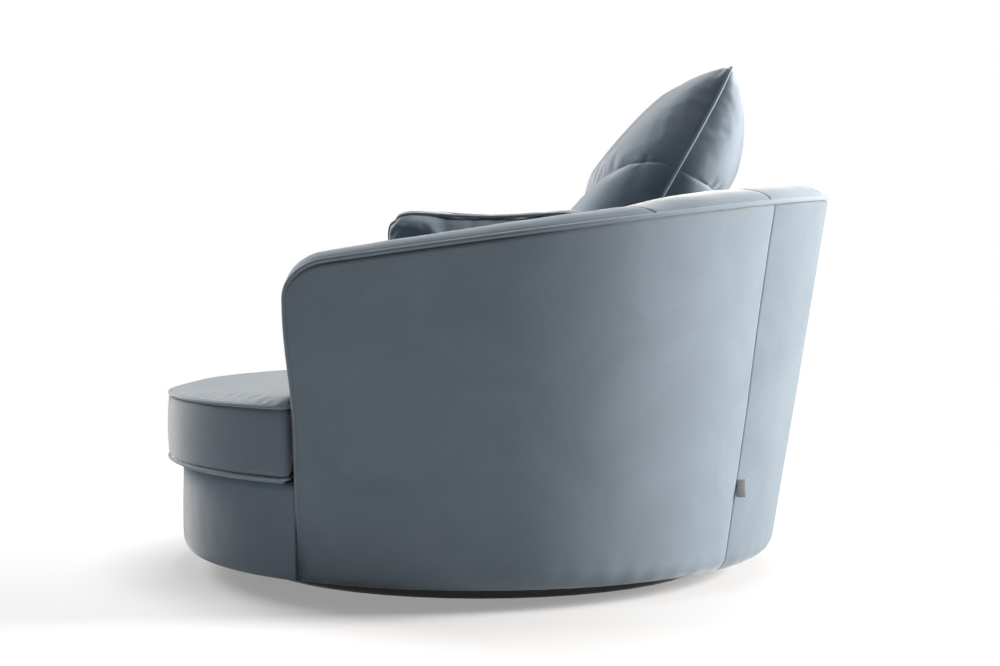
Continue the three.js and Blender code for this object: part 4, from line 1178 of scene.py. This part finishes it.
def edge_place(u, v, cushion):
    """Where a point of a panel lies in the cushion's own plane. Sides are drawn in and corners rounded."""
    (width, height), pull = cushion["size"], cushion["pull"]
    round_off = 1 - cushion["blunt"] * abs(u * v) ** 5
    return (u * width / 2 * (1 - pull * (1 - v * v) * u * u) * round_off,
            v * height / 2 * (1 - pull * (1 - u * u) * v * v) * round_off)


def bent(v, cushion):
    """How far the sewn edge lies behind the cushion's plane, below and above its middle."""
    low, high = cushion["bend"]
    return low * v * v if v < 0 else high * 6.75 * v * v * (1 - v)


def panel_rows(count, has_seam):
    """Heights of the net's rows, with close ones round the middle row where a seam is wanted."""
    rows = [eased(2 * i / count - 1) for i in range(count + 1)]
    if not has_seam:
        return rows, None
    knot = rows[round(count * 0.62)]
    close = [0.004, 0.009, 0.017, 0.03]
    kept = [v for v in rows if abs(v - knot) > close[-1] + 0.006]
    return sorted(kept + [knot] + [knot + c for c in close] + [knot - c for c in close]), knot


def knife_edge(cushion, columns, rows, matrix):
    """The cushion's net, and for each of its points its (u, row, side) on the two panels."""
    tags = {}
    heights, knot = panel_rows(rows, cushion["seams"])
    last = len(heights) - 1

    def place(i, j):
        side = -1 if j <= last else 1
        panel = 0 if side < 0 else 1
        u = eased(2 * i / columns - 1)
        row = v = heights[j if j <= last else 2 * last - j]
        from_seam = 9.0
        if knot is not None:
            base, climb = cushion["seams"][panel]
            line = base + climb * abs(u) ** (1.5 if climb > 0 else 4)
            v += (line - knot) * ((1 - row) / (1 - knot) if row > knot else (1 + row) / (1 + knot))
            from_seam = abs(row - knot)
        x, z = edge_place(u, v, cushion)
        sag = cushion["sag"][panel]
        full = fall(u, cushion["across"]) * fall((v + sag) / (1 + sag if v > -sag else 1 - sag), cushion["up"])
        half = cushion["back" if panel else "front"] * full
        for depth, width in (SEAM_CREASE, SEAM_DIP):
            half -= depth * min(1, full * 2) * math.exp(-(from_seam / width) ** 2)
        point = matrix @ Vector((x, side * max(half, 0.0) + bent(v, cushion), z))
        tags[tuple(round(c, 5) for c in point)] = (u, row, side, from_seam)
        return point

    return net(columns, 2 * last, place, closed=True), tags


def outline_points(cushion, matrix):
    """Evenly spaced points round the sewn edge."""
    corners = [(-1, -1), (1, -1), (1, 1), (-1, 1)]
    ring = []
    for (u0, v0), (u1, v1) in zip(corners, corners[1:] + corners[:1]):
        for share in evenly(0, 1, 60)[:-1]:
            u, v = u0 + (u1 - u0) * share, v0 + (v1 - v0) * share
            x, z = edge_place(u, v, cushion)
            ring.append(matrix @ Vector((x, bent(v, cushion), z)))
    return ring


def settle(points, seat_tree, rest_gap):
    """Flattens a loose cushion where it stands on the seat or leans on the wall."""
    for p in points:
        hit = seat_tree.ray_cast(Vector((p.x, p.y, ABOVE)), Vector((0, 0, -1)))[0]
        floor_height = (hit.z if hit else SEAT_TOP) + rest_gap
        if p.z < floor_height:
            p.z = floor_height
        rim = rim_at(WALL_LENGTH / 2)
        z = min(p.z, rim)
        room = outer_radius(z) - WALL - CORD_SPACE
        reach = math.hypot(p.x, p.y)
        if reach > room and p.z < rim + CROWN_CORNER:
            p.x, p.y = p.x * room / reach, p.y * room / reach


seen_seat = seat.evaluated_get(bpy.context.evaluated_depsgraph_get()).data
seat_tree = BVHTree.FromPolygons([v.co.copy() for v in seen_seat.vertices],
                                 [tuple(p.vertices) for p in seen_seat.polygons])
seat_middle = seat_tree.ray_cast(Vector((0, 0, ABOVE)), Vector((0, 0, -1)))[0]
print("seat height in the middle:", round(seat_middle.z, 4))


def loose_cushion(name, body, cushion, steps, puff, rest_gap):
    """A finished knife-edge cushion with its cord, settled in its place."""
    matrix = (Matrix.Translation(cushion["place"]) @ Matrix.Rotation(math.radians(cushion["yaw"]), 4, "Z")
              @ Matrix.Rotation(-math.radians(cushion["lean"]), 4, "X"))
    bm, tags = knife_edge(cushion, *steps, matrix)
    cover = finished(bm, f"{name}_cover", cushion_velvet, body, "cushion_velvet", [name])
    mesh = cover.data
    sewn = []
    for v in mesh.vertices:
        u, row, _, from_seam = tags[tuple(round(c, 5) for c in v.co)]
        if max(abs(u), abs(row)) > 0.999 or from_seam < 0.001:
            sewn.append(v.index)
    puffed(cover, sewn, **puff)
    points = [v.co.copy() for v in mesh.vertices]
    settle(points, seat_tree, rest_gap)
    for v, p in zip(mesh.vertices, points):
        v.co = p
    smooth = cover.modifiers.new("smooth", "SUBSURF")
    smooth.levels = smooth.render_levels = 1
    cord_line = outline_points(cushion, matrix)
    settle(cord_line, seat_tree, rest_gap + cushion["cord"])
    finished(ring_cord(cord_line, cushion["cord"]), f"{name}_cord", cushion_cord_painted_highlight_velvet, body, "piping")
    return cover

# %% [markdown]
# ## Back cushion
# The big cushion stands on the seat, leans on the wall and rises well over the rim. Each of its panels has
# a plain seam across: the front one droops in its middle to half the cushion's height. The photograph shows
# it full and soft, with small tucks fanning out from the cord.

# %% Back cushion
back_cushion = loose_cushion("back_cushion", "back_cushion", BACK_CUSHION, (84, 78),
                             {"slack": 0.018, "pressure": 4, "cap": 0.010}, 0.0025)
print("back cushion faces:", len(back_cushion.data.polygons))

# %% [markdown]
# ## Scatter cushions
# Two smaller cushions lean on the inside of the arms, the right one more upright than the left. Only their
# puckered tops show over the near arm.

# %% Scatter cushions
for side, cushion in (("left", SCATTER_LEFT), ("right", SCATTER_RIGHT)):
    scatter = loose_cushion(f"scatter_cushion_{side}", f"scatter_cushion_{side}", cushion, (60, 52),
                            {"slack": 0.035, "pressure": 4, "cap": 0.010}, 0.0012)
    print(scatter.name, "faces:", len(scatter.data.polygons))
